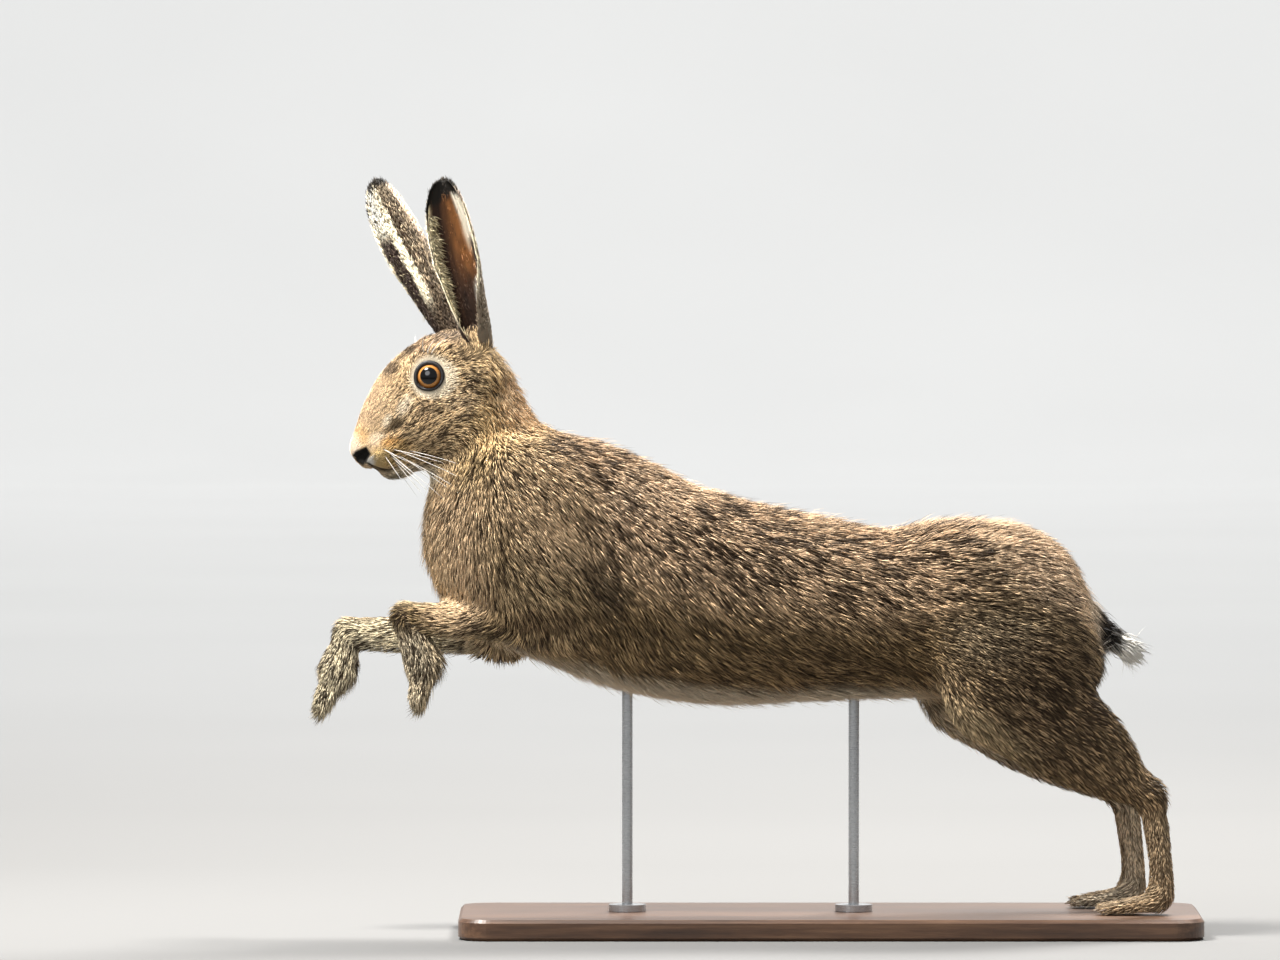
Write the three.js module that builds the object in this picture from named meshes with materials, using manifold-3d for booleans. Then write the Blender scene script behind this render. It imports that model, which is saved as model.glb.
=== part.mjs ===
// Brown hare at life size, bounding to the left, mounted on a plain display stand.
// Millimetres, +Z up. X runs from the nose (negative) to the tail, and the hare's left side faces -Y.
// The origin is the centre of the base board's underside.
//
// The flesh is one smooth body: rounded tubes along the spine and the limbs, and lumps for the muscles,
// melted together. It is meshed once for each region, fine on the head and paws, and parted with thin cuts.
import * as THREE from "three";
import { mergeVertices } from "three/addons/utils/BufferGeometryUtils.js";
import Module from "manifold-3d";

const wasm = await Module();
wasm.setup();

// Driving dimensions of the stand and of the gaps
const GAP = 0.3; // between neighbouring pieces
const BASE = { length: 556, width: 190, thickness: 16, corner: 24, bevel: 2.5 };
const ROD = { xs: [-152, 18], tops: [190, 182], radius: 4, sides: 20 };
const FLANGE = { radius: 14, height: 5, sides: 28 };
const GROUND = BASE.thickness + GAP; // the level of the hind soles

// Cell sizes of the meshes along X, Y and Z: how fine each region is
const CELL = { head: [5.8, 5.3, 5.8], neck: [10, 10, 11], torso: [23.5, 16, 16.5], shoulder: [13, 12, 13],
  forearm: [10, 7, 7], forepaw: [5.6, 4.8, 6.6], thigh: [15, 10, 15], shank: [10, 8.5, 10],
  hindfoot: [6.4, 5.4, 8.4], tail: [8, 8, 8] };

// Small helpers on points
const lerp = (a, b, t) => a + (b - a) * t;
const clamp = (v, lo, hi) => Math.min(hi, Math.max(lo, v));
const deg = (d) => (d * Math.PI) / 180;

// A station of a tube: its centre, its half depth in the body's upright plane and its half width across.
const station = (x, y, z, depth, width) => [x, y, z, depth, width];

// The spine from the breast to the root of the tail
const TRUNK = [
  station(-250, 0, 292, 44, 38),
  station(-222, 0, 297, 80, 49),
  station(-180, 0, 281, 87, 54),
  station(-135, 0, 264, 82, 57),
  station(-75, 0, 250, 78, 58),
  station(-15, 0, 244, 72, 56),
  station(37, 0, 240, 66, 52),
  station(88, 0, 243, 68, 50),
  station(129, 0, 242, 61, 46),
  station(156, 0, 233, 44, 38),
];

// The neck, from the skull down into the breast
const NECK = [
  station(-273, -2, 417, 32, 26),
  station(-262, -1, 382, 40, 30),
  station(-257, 0, 338, 42, 34),
  station(-252, 0, 298, 46, 40),
];

// The head from the nose to the back of the skull, before it is turned
const HEAD = [
  station(-348.5, 0, 364, 12, 10),
  station(-341.5, 0, 369, 18, 13.5),
  station(-331.5, 0, 376, 25, 17),
  station(-318, 0, 388, 33.5, 21),
  station(-303, 0, 401, 39.5, 23.5),
  station(-287, 0, 409, 41, 24),
  station(-272, 0, 407, 32, 22),
];
const JAW = [
  station(-330, 0, 351, 9, 8.5),
  station(-315, 0, 359, 14, 13),
  station(-292, 0, 376, 20, 19),
];
const HEAD_TURN = { yaw: deg(8), x: -264, y: 0 }; // towards the hare's left

const EYE = { x: -301.6, y: 14.8, z: 417.6, radius: 11.2, opening: 9.6, lidRing: 10.9, lidThickness: 1.9,
  lidOut: 6.6, gaze: [-0.26, 0.95, 0.14] };
const NOSTRIL = { x: -353, y: 6.6, z: 362.5, sizes: [5, 2.2, 2.6], tilt: 40, turn: 28 };
const LIP_CLEFT = { x: -354, z: 354, width: 1.4, height: 9, depth: 9 };

// Each limb is a list of tubes. side is -1 on the left and +1 on the right.
const foreLeg = (side, elbow, wrist, palm, toes) => ({
  side,
  upper: [
    station(-236, side * 30, 322, 40, 16),
    station(lerp(-236, elbow[0], 0.5), side * 36, lerp(322, elbow[1], 0.55), 36, 17),
    station(elbow[0], side * 31, elbow[1] + 6, 25, 14),
  ],
  lower: [
    station(elbow[0] + 2, side * 30, elbow[1] + 4, 19, 13),
    station(lerp(elbow[0], wrist[0], 0.45), side * 26, lerp(elbow[1], wrist[1], 0.45), 14.5, 11.5),
    station(lerp(elbow[0], wrist[0], 0.85), side * 23, lerp(elbow[1], wrist[1], 0.85), 12.5, 10.5),
    station(wrist[0], side * 22, wrist[1], 11.5, 11),
  ],
  paw: [
    station(wrist[0], side * 22, wrist[1], 11, 11),
    station(lerp(wrist[0], palm[0], 0.5), side * 21.5, lerp(wrist[1], palm[1], 0.5), 12, 11.5),
    station(palm[0], side * 21, palm[1], 13.5, 12.5),
  ],
  elbow, wrist, palm, toes, shift: 0,
});
const FORE_LEFT = foreLeg(-1, [-206, 236], [-317, 238], [-306, 204], [-310, 175]);
const FORE_RIGHT = foreLeg(1, [-246, 224], [-361, 224], [-371, 197], [-384, 169]);

const hindLeg = (side, shift) => ({
  side, shift,
  thigh: [
    station(138 + shift * 0.2, side * 30, 254, 48, 22),
    station(132 + shift * 0.5, side * 37, 218, 54, 24),
    station(128 + shift, side * 40, 186, 44, 21),
  ],
  shank: [
    station(128 + shift, side * 40, 186, 44, 21),
    station(163 + shift, side * 39, 161, 41, 19),
    station(192 + shift, side * 38, 140, 33, 16),
    station(218 + shift, side * 36, 119, 20, 12.5),
    station(239 + shift, side * 36, 104, 12.5, 10.5),
  ],
  foot: [
    station(237 + shift, side * 36, 107, 12, 10.5),
    station(243 + shift, side * 36, 84, 10.5, 10),
    station(247 + shift, side * 37, 52, 9.5, 10.5),
    station(247 + shift, side * 37, 33, 11, 12),
  ],
  heel: [238 + shift, 108],
  knuckle: [245 + shift, GROUND + 9.5],
});
const HIND_LEFT = hindLeg(-1, 0);
const HIND_RIGHT = hindLeg(1, -18);

const FORE_TOE = { count: 4, spread: 6.2, radius: 7.5, width: 4.6 };
const HIND_TOE = { count: 4, spread: 6.6, radius: 6.4, width: 5.0, length: 42 };
const CLAW = { radius: 1.7, length: 10, sides: 6, rings: 4 };

// Ears: root and tip, the way the cup opens, the half breadth when laid flat and the backward bow
const EAR = { wall: 2.4, rim: 1.2, rings: 12, across: 6, rootRadius: 10.5,
  rootWrap: deg(155), midWrap: deg(84), tipWrap: deg(64) };
const EAR_LEFT = { side: -1, root: [-264, -17, 450], tip: [-289.5, -19, 565],
  opens: [-0.42, -0.9, 0.1], breadth: 26, bow: 3.5 };
const EAR_RIGHT = { side: 1, root: [-283, 9, 452], tip: [-341, 17, 564],
  opens: [-0.45, 0.88, 0.1], breadth: 25, bow: 3 };

const TAIL = { root: [180, 0, 240], tip: [226, 0, 210], radius: 12, rows: 2, locks: 6, lockLength: 34,
  lockWidth: 6.5, lockThickness: 2.6, flare: 4 };

// Distance from a point to a tube. Between stations the tube's centre and half sizes change evenly,
// and a ring is an ellipse, width across and depth in the upright plane.
const STEPS = 4;
function spline(stations) {
  const at = (i) => stations[clamp(i, 0, stations.length - 1)];
  const fine = [];
  for (let i = 0; i < stations.length - 1; i++) {
    const [p0, p1, p2, p3] = [at(i - 1), at(i), at(i + 1), at(i + 2)];
    for (let s = 0; s < STEPS; s++) {
      const t = s / STEPS;
      fine.push(p1.map((v, k) => 0.5 * (2 * v + (p2[k] - p0[k]) * t
        + (2 * p0[k] - 5 * v + 4 * p2[k] - p3[k]) * t * t + (3 * v - p0[k] - 3 * p2[k] + p3[k]) * t ** 3)));
    }
  }
  fine.push(at(stations.length - 1));
  return fine;
}

function ellipseDistance(across, along, width, depth) {
  const k0 = Math.hypot(across / width, along / depth);
  const k1 = Math.hypot(across / width ** 2, along / depth ** 2);
  return k1 > 1e-9 ? (k0 * (k0 - 1)) / k1 : -Math.min(width, depth);
}

function tube(stations) {
  const s = spline(stations);
  return (x, y, z) => {
    let best = Infinity;
    for (let i = 0; i < s.length - 1; i++) {
      const [a, b] = [s[i], s[i + 1]];
      const [dx, dy, dz] = [b[0] - a[0], b[1] - a[1], b[2] - a[2]];
      const reach = (x - a[0]) * dx + (y - a[1]) * dy + (z - a[2]) * dz;
      const t = clamp(reach / (dx * dx + dy * dy + dz * dz), 0, 1);
      const flat = Math.hypot(x - lerp(a[0], b[0], t), z - lerp(a[2], b[2], t));
      const d = ellipseDistance(y - lerp(a[1], b[1], t), flat, lerp(a[4], b[4], t), lerp(a[3], b[3], t));
      best = Math.min(best, d);
    }
    return best;
  };
}

// An ellipsoid with half sizes along, across and high, its long axis tilted in the upright plane
function lump(centre, sizes, tilt = 0) {
  const [c, s] = [Math.cos(deg(tilt)), Math.sin(deg(tilt))];
  return (x, y, z) => {
    const [px, pz] = [x - centre[0], z - centre[2]];
    const q = [px * c + pz * s, y - centre[1], pz * c - px * s];
    const k0 = Math.hypot(q[0] / sizes[0], q[1] / sizes[1], q[2] / sizes[2]);
    const k1 = Math.hypot(q[0] / sizes[0] ** 2, q[1] / sizes[1] ** 2, q[2] / sizes[2] ** 2);
    return k1 > 1e-9 ? (k0 * (k0 - 1)) / k1 : -Math.min(...sizes);
  };
}
// The same lump on both sides of the body
function pair(centre, sizes, tilt = 0) {
  const one = lump(centre, sizes, tilt);
  return (x, y, z) => one(x, Math.abs(y), z);
}

// Joins two distances with a fillet of about that size
function melt(a, b, size) {
  const h = Math.max(size - Math.abs(a - b), 0) / size;
  return Math.min(a, b) - (h * h * size) / 4;
}
const meltAll = (forms, size) => (x, y, z) => {
  let d = forms[0](x, y, z);
  for (let i = 1; i < forms.length; i++) d = melt(d, forms[i](x, y, z), size);
  return d;
};
const nearest = (forms) => (x, y, z) => Math.min(...forms.map((f) => f(x, y, z)));

const trunk = meltAll([
  tube(TRUNK),
  tube(NECK),
  lump([-214, 0, 332], [44, 34, 28], -22), // withers
  pair([-222, 34, 318], [38, 19, 46], 12), // shoulder blades
  pair([118, 24, 262], [60, 26, 42], -14), // rump
  pair([168, 30, 204], [35, 18, 36], 0), // back of the haunch
  lump([-110, 0, 204], [70, 40, 22], -4), // belly
  lump([-254, 0, 270], [33, 30, 24], 40), // breast
], 26);

const skull = meltAll([
  tube(HEAD),
  tube(JAW),
  pair([-301, 12, 416], [17, 10.5, 15], 30), // orbits
  pair([-292, 13, 388], [25, 14, 24], 35), // cheeks
  pair([-342, 7.5, 360], [13, 9, 10.5], 30), // whisker pads
  lump([-349, 0, 365], [8, 8, 8]), // nose
  lump([-326, 0, 349], [10, 8, 7.5]), // chin
  lump([-288, 0, 434], [20, 18, 14], -20), // crown
], 8);
const earStubs = nearest([EAR_LEFT, EAR_RIGHT].map((e) => {
  const up = e.tip.map((v, i) => v - e.root[i]);
  const at = (t) => e.root.map((v, i) => v + up[i] * t);
  const ring = (t, r) => station(...at(t), r * 1.1, r);
  return tube([ring(-0.24, 14), ring(-0.08, 13), ring(0.08, 12)]);
}));

function turned(form) {
  const [c, s] = [Math.cos(-HEAD_TURN.yaw), Math.sin(-HEAD_TURN.yaw)];
  return (x, y, z) => {
    const [px, py] = [x - HEAD_TURN.x, y - HEAD_TURN.y];
    return form(HEAD_TURN.x + px * c - py * s, HEAD_TURN.y + px * s + py * c, z);
  };
}
const headForm = turned(skull);

const limbs = [FORE_LEFT, FORE_RIGHT, HIND_LEFT, HIND_RIGHT];
const upperLimbs = nearest([
  ...[FORE_LEFT, FORE_RIGHT].map((l) => tube(l.upper)),
  ...[HIND_LEFT, HIND_RIGHT].map((l) => tube(l.thigh)),
]);

// Toes side by side, each a short tube from the knuckles to the tip
function toes(side, from, to, { count, spread, radius, width }) {
  const forms = [];
  for (let i = 0; i < count; i++) {
    const off = (i - (count - 1) / 2) * spread;
    const y = (t) => side * 21 + off * lerp(0.7, 1.05, t);
    const reach = 1 - 0.1 * Math.abs(i - (count - 1) / 2);
    forms.push(tube([
      station(from[0], y(0), from[1], radius, width),
      station(lerp(from[0], to[0], 0.6 * reach), y(0.6), lerp(from[1], to[1], 0.6 * reach), radius, width),
      station(lerp(from[0], to[0], reach), y(1), lerp(from[1], to[1], reach), radius * 0.7, width * 0.8),
    ]));
  }
  return nearest(forms);
}
const foreToes = (l) => toes(l.side, l.palm, l.toes, FORE_TOE);
function hindToes(l) {
  const forms = [];
  const y0 = l.side * 37;
  for (let i = 0; i < HIND_TOE.count; i++) {
    const off = (i - (HIND_TOE.count - 1) / 2) * HIND_TOE.spread;
    const reach = HIND_TOE.length * (1 - 0.09 * Math.abs(i - 1.5));
    const z = GROUND + HIND_TOE.radius - 0.8;
    forms.push(tube([
      station(l.knuckle[0], y0 + off * 0.7, z + 4, HIND_TOE.radius + 2, HIND_TOE.width + 0.5),
      station(l.knuckle[0] - reach * 0.5, y0 + off, z + 1.5, HIND_TOE.radius, HIND_TOE.width),
      station(l.knuckle[0] - reach, y0 + off * 1.1, z - 0.8, HIND_TOE.radius - 1.6, HIND_TOE.width - 1),
    ]));
  }
  return nearest(forms);
}
const lowerLimbs = nearest([
  ...[FORE_LEFT, FORE_RIGHT].map((l) => meltAll([tube(l.lower), tube(l.paw), foreToes(l)], 6)),
  ...[HIND_LEFT, HIND_RIGHT].map((l) => meltAll([tube(l.shank), tube(l.foot), hindToes(l)], 7)),
]);
const tailRoot = tube([
  station(150, 0, 240, 26, 22),
  station(TAIL.root[0], 0, TAIL.root[2], 14, 13),
  station(TAIL.root[0] + 18, 0, TAIL.root[2] - 12, 11, 11),
  station(TAIL.tip[0] - 10, 0, TAIL.tip[2] + 7, 7, 7),
]);

const upperBody = (x, y, z) => melt(melt(trunk(x, y, z), upperLimbs(x, y, z), 20), tailRoot(x, y, z), 12);
const body = (x, y, z) => {
  const withLimbs = melt(upperBody(x, y, z), lowerLimbs(x, y, z), 9);
  const withHead = melt(withLimbs, headForm(x, y, z), 12);
  return Math.max(melt(withHead, earStubs(x, y, z), 9), GROUND - z);
};

// Meshes the region of the body inside a box: one point in each cell that the surface crosses, joined by
// quads over the grid's crossed edges, then drawn onto the surface along its slope.
function meshRegion(form, low, high, cell) {
  const n = [0, 1, 2].map((k) => Math.ceil((high[k] - low[k]) / cell[k]) + 1);
  const at = (i, j, k) => (k * n[1] + j) * n[0] + i;
  const place = (i, j, k) => [low[0] + i * cell[0], low[1] + j * cell[1], low[2] + k * cell[2]];
  const value = new Float64Array(n[0] * n[1] * n[2]);
  const far = 4 * cell[0];
  const edge = (...c) => c.some((v, k) => v === 0 || v === n[k] - 1);
  for (let k = 0; k < n[2]; k++) {
    for (let j = 0; j < n[1]; j++) {
      for (let i = 0; i < n[0]; i++) {
        // A value far from the surface holds for the next points of its row too
        const before = i > 1 ? value[at(i - 1, j, k)] : 0;
        if (edge(i, j, k)) value[at(i, j, k)] = cell[0];
        else if (Math.abs(before) > far) value[at(i, j, k)] = before - Math.sign(before) * 1.3 * cell[0];
        else value[at(i, j, k)] = form(...place(i, j, k)) || 1e-6;
      }
    }
  }
  const corners = [[0, 0, 0], [1, 0, 0], [0, 1, 0], [1, 1, 0], [0, 0, 1], [1, 0, 1], [0, 1, 1], [1, 1, 1]];
  const sides = [[0, 1], [2, 3], [4, 5], [6, 7], [0, 2], [1, 3],
    [4, 6], [5, 7], [0, 4], [1, 5], [2, 6], [3, 7]];
  const points = [];
  const pointOf = new Map();
  for (let k = 0; k < n[2] - 1; k++) {
    for (let j = 0; j < n[1] - 1; j++) {
      for (let i = 0; i < n[0] - 1; i++) {
        const v = corners.map(([a, b, c]) => value[at(i + a, j + b, k + c)]);
        if (v.every((d) => d < 0) || v.every((d) => d > 0)) continue;
        const sum = [0, 0, 0];
        let count = 0;
        for (const [a, b] of sides) {
          if (v[a] < 0 === v[b] < 0) continue;
          const t = v[a] / (v[a] - v[b]);
          corners[a].forEach((c, m) => { sum[m] += lerp(c, corners[b][m], t); });
          count++;
        }
        pointOf.set(at(i, j, k), points.length);
        points.push(place(i, j, k).map((c, m) => c + (sum[m] / count) * cell[m]));
      }
    }
  }
  const faces = [];
  const quad = (a, b, c, d, flip) => {
    const q = flip ? [a, d, c, b] : [a, b, c, d];
    const gap = (p, r) => Math.hypot(...points[p].map((v, m) => v - points[r][m]));
    if (gap(q[0], q[2]) <= gap(q[1], q[3])) faces.push([q[0], q[1], q[2]], [q[0], q[2], q[3]]);
    else faces.push([q[1], q[2], q[3]], [q[1], q[3], q[0]]);
  };
  for (let k = 0; k < n[2] - 1; k++) {
    for (let j = 0; j < n[1] - 1; j++) {
      for (let i = 0; i < n[0] - 1; i++) {
        const inside = value[at(i, j, k)] < 0;
        const crosses = (a, b, c) => inside !== value[at(i + a, j + b, k + c)] < 0;
        const p = (a, b, c) => pointOf.get(at(i - a, j - b, k - c));
        if (crosses(1, 0, 0)) quad(p(0, 1, 1), p(0, 0, 1), p(0, 0, 0), p(0, 1, 0), !inside);
        if (crosses(0, 1, 0)) quad(p(1, 0, 1), p(1, 0, 0), p(0, 0, 0), p(0, 0, 1), !inside);
        if (crosses(0, 0, 1)) quad(p(1, 1, 0), p(0, 1, 0), p(0, 0, 0), p(1, 0, 0), !inside);
      }
    }
  }
  const h = 0.2;
  for (const p of points) {
    if (p.some((v, m) => v < low[m] + cell[m] * 1.5 || v > high[m] - cell[m] * 1.5)) continue;
    for (let turn = 0; turn < 3; turn++) {
      const d = form(...p);
      const slope = [0, 1, 2].map((m) => (form(...p.map((v, q) => (q === m ? v + h : v))) - d) / h);
      const steep = Math.max(slope.reduce((s, g) => s + g * g, 0), 0.2);
      slope.forEach((g, m) => { p[m] -= clamp((d * g) / steep, -cell[m] * 0.35, cell[m] * 0.35); });
    }
  }
  const geometry = new THREE.BufferGeometry();
  geometry.setAttribute("position", new THREE.BufferAttribute(new Float32Array(points.flat()), 3));
  geometry.setIndex(faces.flat());
  return geometry;
}

// three.js geometry to a solid, and back
function solid(geometry, matrix = new THREE.Matrix4()) {
  const g = geometry.clone().applyMatrix4(matrix);
  g.deleteAttribute("normal");
  g.deleteAttribute("uv");
  const merged = mergeVertices(g, 1e-4);
  return new wasm.Manifold(new wasm.Mesh({
    numProp: 3,
    vertProperties: merged.attributes.position.array,
    triVerts: new Uint32Array(merged.index.array),
  }));
}
// Booleans leave points very close together along a cut, so these are merged, a little more widely until
// every edge has just two faces. Faces that collapse go, and so do two that lie back to back.
function weld(positions, triangles, size) {
  const found = new Map();
  const points = [];
  const index = positions.map((p) => {
    const key = p.map((v) => Math.round(v / size)).join();
    if (!found.has(key)) found.set(key, points.push(p) - 1);
    return found.get(key);
  });
  const faces = new Map();
  for (const t of triangles) {
    const f = t.map((v) => index[v]);
    if (new Set(f).size < 3) continue;
    const key = [...f].sort((a, b) => a - b).join();
    if (faces.has(key)) faces.delete(key);
    else faces.set(key, f);
  }
  const edges = new Map();
  for (const f of faces.values()) {
    for (let k = 0; k < 3; k++) {
      const key = [f[k], f[(k + 1) % 3]].sort((a, b) => a - b).join();
      edges.set(key, (edges.get(key) || 0) + 1);
    }
  }
  const sound = [...edges.values()].every((n) => n === 2);
  return { points, faces: [...faces.values()], sound };
}
function geometryOf(made) {
  const whole = made.decompose().sort((a, b) => b.volume() - a.volume())[0];
  const { numProp, numVert, vertProperties, triVerts } = whole.getMesh();
  const triple = (list, start) => [0, 1, 2].map((k) => list[start + k]);
  const positions = Array.from({ length: numVert }, (_, i) => triple(vertProperties, i * numProp));
  const triangles = Array.from({ length: triVerts.length / 3 }, (_, i) => triple(triVerts, i * 3));
  let welded = weld(positions, triangles, 0.002);
  for (let size = 0.005; !welded.sound && size < 0.2; size *= 1.6) welded = weld(positions, triangles, size);
  const g = new THREE.BufferGeometry();
  g.setAttribute("position", new THREE.BufferAttribute(new Float32Array(welded.points.flat()), 3));
  g.setIndex(welded.faces.flat());
  g.computeVertexNormals();
  return g;
}

// A very large block whose near face passes half a gap beyond the point, facing against the direction
const FAR = 1500;
function beyond(point, direction, clear = GAP / 2) {
  const n = new THREE.Vector3(...direction).normalize();
  const turn = new THREE.Quaternion().setFromUnitVectors(new THREE.Vector3(0, 0, 1), n);
  const centre = new THREE.Vector3(...point).addScaledVector(n, FAR / 2 + clear);
  const placed = new THREE.Matrix4().compose(centre, turn, new THREE.Vector3(1, 1, 1));
  return solid(new THREE.BoxGeometry(FAR, FAR, FAR), placed);
}
const opposite = (v) => v.map((c) => -c);
// The two sides of a plane cut
const side = (point, direction) => beyond(point, direction);
const otherSide = (point, direction) => beyond(point, opposite(direction));

// A block to cut a limb's root out of the trunk: an oval pad that runs outwards from inside the flesh.
// grow widens it by the gap for the trunk's side of the cut.
function oval(limb, pad, grow) {
  const shape = new THREE.Shape();
  shape.absellipse(0, 0, pad.radii[0] + grow, pad.radii[1] + grow, 0, Math.PI * 2);
  const g = new THREE.ExtrudeGeometry(shape, { depth: 150, bevelEnabled: false, curveSegments: 18 });
  const inner = pad.inner - grow;
  const placed = new THREE.Matrix4().makeTranslation(pad.centre[0] + limb.shift * pad.follow,
    limb.side < 0 ? -inner : inner + 150, pad.centre[1]);
  placed.multiply(new THREE.Matrix4().makeRotationY(-deg(pad.tilt)));
  return solid(g, placed.multiply(new THREE.Matrix4().makeRotationX(Math.PI / 2)));
}

// A block round a limb: a loft of ovals along the tube's stations, wider than the flesh by clear
function sleeve(stations, clear, sides = 12) {
  const loops = stations.map(([x, y, z, depth, width], i) => {
    const [a, b] = [stations[Math.max(i - 1, 0)], stations[Math.min(i + 1, stations.length - 1)]];
    const ahead = new THREE.Vector3(b[0] - a[0], b[1] - a[1], b[2] - a[2]).normalize();
    const across = new THREE.Vector3(0, 1, 0).addScaledVector(ahead, -ahead.y).normalize();
    const up = new THREE.Vector3().crossVectors(across, ahead);
    return Array.from({ length: sides }, (_, j) => {
      const angle = (2 * Math.PI * (j + 0.5)) / sides;
      return new THREE.Vector3(x, y, z).addScaledVector(across, Math.cos(angle) * (width + clear))
        .addScaledVector(up, Math.sin(angle) * (depth + clear));
    });
  });
  return solid(skinLoops(loops, false));
}

// Cut planes: a point on the plane and the direction that points towards the named piece
const CUT = {
  head: { at: [-272, 0, 405], to: [-0.96, 0, 0.28] },
  throat: { at: [-301, 0, 346], to: [-0.62, 0, 0.78] },
  jaw: { at: [-336, 0, 347], to: [0.3, 0, -0.95] },
  neck: { at: [-262, 0, 351], to: [-0.62, 0, 0.78] },
};
// Pads that take the shoulder and the haunch out of the trunk
const SHOULDER = { centre: [-224, 280], radii: [68, 42], tilt: 66, inner: 24, follow: 0 };
const HAUNCH = { centre: [144, 214], radii: [97, 72], tilt: 120, inner: 15, follow: 0.6 };

const mesh = (name, made, material) => {
  const m = new THREE.Mesh(geometryOf(made), material);
  m.name = name;
  return m;
};
const region = (low, high, cell) => solid(meshRegion(body, low, high, cell));

// Materials
const FUR = new THREE.MeshStandardMaterial({ color: 0x8a6f4e, roughness: 0.95, metalness: 0 });
const PALE_FUR = new THREE.MeshStandardMaterial({ color: 0xa58560, roughness: 0.95, metalness: 0 });
const EAR_SKIN = new THREE.MeshStandardMaterial({ color: 0x8f6b4a, roughness: 0.8, metalness: 0 });
const WHITE_FUR = new THREE.MeshStandardMaterial({ color: 0xe9e4da, roughness: 0.95, metalness: 0 });
const EYE_GLASS = new THREE.MeshStandardMaterial({ color: 0x2a1608, roughness: 0.05, metalness: 0 });
const STEEL = new THREE.MeshStandardMaterial({ color: 0x8d9094, roughness: 0.3, metalness: 1 });
const OAK = new THREE.MeshStandardMaterial({ color: 0x3b2a20, roughness: 0.5, metalness: 0 });

const hare = new THREE.Group();

// Where a point of the straight head lies once the head is turned
function turnedPoint([x, y, z]) {
  const [c, s] = [Math.cos(HEAD_TURN.yaw), Math.sin(HEAD_TURN.yaw)];
  const [px, py] = [x - HEAD_TURN.x, y - HEAD_TURN.y];
  return [HEAD_TURN.x + px * c - py * s, HEAD_TURN.y + px * s + py * c, z];
}

// An ear: rings of a cup's cross-section from the root to the tip, open towards its opening
function earGeometry(ear) {
  const root = new THREE.Vector3(...ear.root);
  const along = new THREE.Vector3(...ear.tip).sub(root);
  const length = along.length();
  along.normalize();
  const open = new THREE.Vector3(...ear.opens);
  open.addScaledVector(along, -open.dot(along)).normalize();
  const across = new THREE.Vector3().crossVectors(along, open);
  const rings = [];
  for (let i = 0; i <= EAR.rings; i++) {
    const u = i / EAR.rings;
    const wrap = u < 0.45 ? lerp(EAR.rootWrap, EAR.midWrap, (u / 0.45) ** 0.85)
      : lerp(EAR.midWrap, EAR.tipWrap, (u - 0.45) / 0.55);
    const fall = Math.max((u - 0.4) / 0.6, 0);
    const half = lerp(EAR.rootRadius * EAR.rootWrap, ear.breadth, Math.min(u / 0.35, 1))
      * Math.sqrt(1 - 0.985 * fall ** 2.4);
    const bend = half / wrap;
    const centre = root.clone().addScaledVector(along, u * length)
      .addScaledVector(open, bend - ear.bow * Math.sin(Math.PI * u) - 9 * (1 - u) ** 2);
    const loop = [];
    for (const face of [1, -1]) {
      for (let j = 0; j <= EAR.across; j++) {
        const v = face * (1 - (2 * j) / EAR.across);
        const wall = (EAR.wall * (1 - v ** 4) + EAR.rim * v ** 4) * (1 - 0.45 * u) * 0.5;
        const r = bend + face * wall;
        loop.push(centre.clone().addScaledVector(across, r * Math.sin(v * wrap))
          .addScaledVector(open, -r * Math.cos(v * wrap)));
      }
    }
    rings.push(loop);
  }
  return skinLoops(rings, true);
}

// Joins loops of points into a closed skin. A thin loop's ends are closed across, point to point.
function skinLoops(loops, thin) {
  const m = loops[0].length;
  const points = loops.flat();
  const faces = [];
  for (let i = 0; i < loops.length - 1; i++) {
    for (let j = 0; j < m; j++) {
      const [a, b] = [i * m + j, i * m + ((j + 1) % m)];
      faces.push([a, b, b + m], [a, b + m, a + m]);
    }
  }
  const last = (loops.length - 1) * m;
  if (thin) {
    for (let j = 0; j < m / 2 - 1; j++) {
      const [a, b] = [j, m - 1 - j];
      faces.push([a, b, j + 1], [j + 1, b, b - 1]);
      faces.push([last + a, last + j + 1, last + b], [last + j + 1, last + b - 1, last + b]);
    }
  } else {
    for (let j = 1; j < m - 1; j++) {
      faces.push([0, j + 1, j], [last, last + j, last + j + 1]);
    }
  }
  const g = new THREE.BufferGeometry();
  const numbers = new Float32Array(points.flatMap((p) => p.toArray()));
  g.setAttribute("position", new THREE.BufferAttribute(numbers, 3));
  g.setIndex(faces.flat());
  const made = solid(g);
  if (made.volume() < 0) g.setIndex(faces.map(([a, b, c]) => [a, c, b]).flat());
  return g;
}

// A tapered, bent lock: an oval section that narrows from the root to the tip along a curve
function lock(path, width, thickness, flatTo, sides = 6, rings = 5) {
  const loops = [];
  for (let i = 0; i <= rings; i++) {
    const t = i / rings;
    const p = path(t);
    const ahead = path(Math.min(t + 0.02, 1)).sub(path(Math.max(t - 0.02, 0))).normalize();
    const sideways = new THREE.Vector3().crossVectors(ahead, flatTo).normalize();
    const up = new THREE.Vector3().crossVectors(sideways, ahead);
    const size = Math.max(Math.sin(Math.PI * (0.28 + 0.72 * t)) ** 0.8, 0.07);
    const loop = [];
    for (let j = 0; j < sides; j++) {
      const a = (2 * Math.PI * j) / sides;
      loop.push(p.clone().addScaledVector(sideways, Math.cos(a) * width * size)
        .addScaledVector(up, Math.sin(a) * thickness * size));
    }
    loops.push(loop);
  }
  return solid(skinLoops(loops, false));
}

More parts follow.
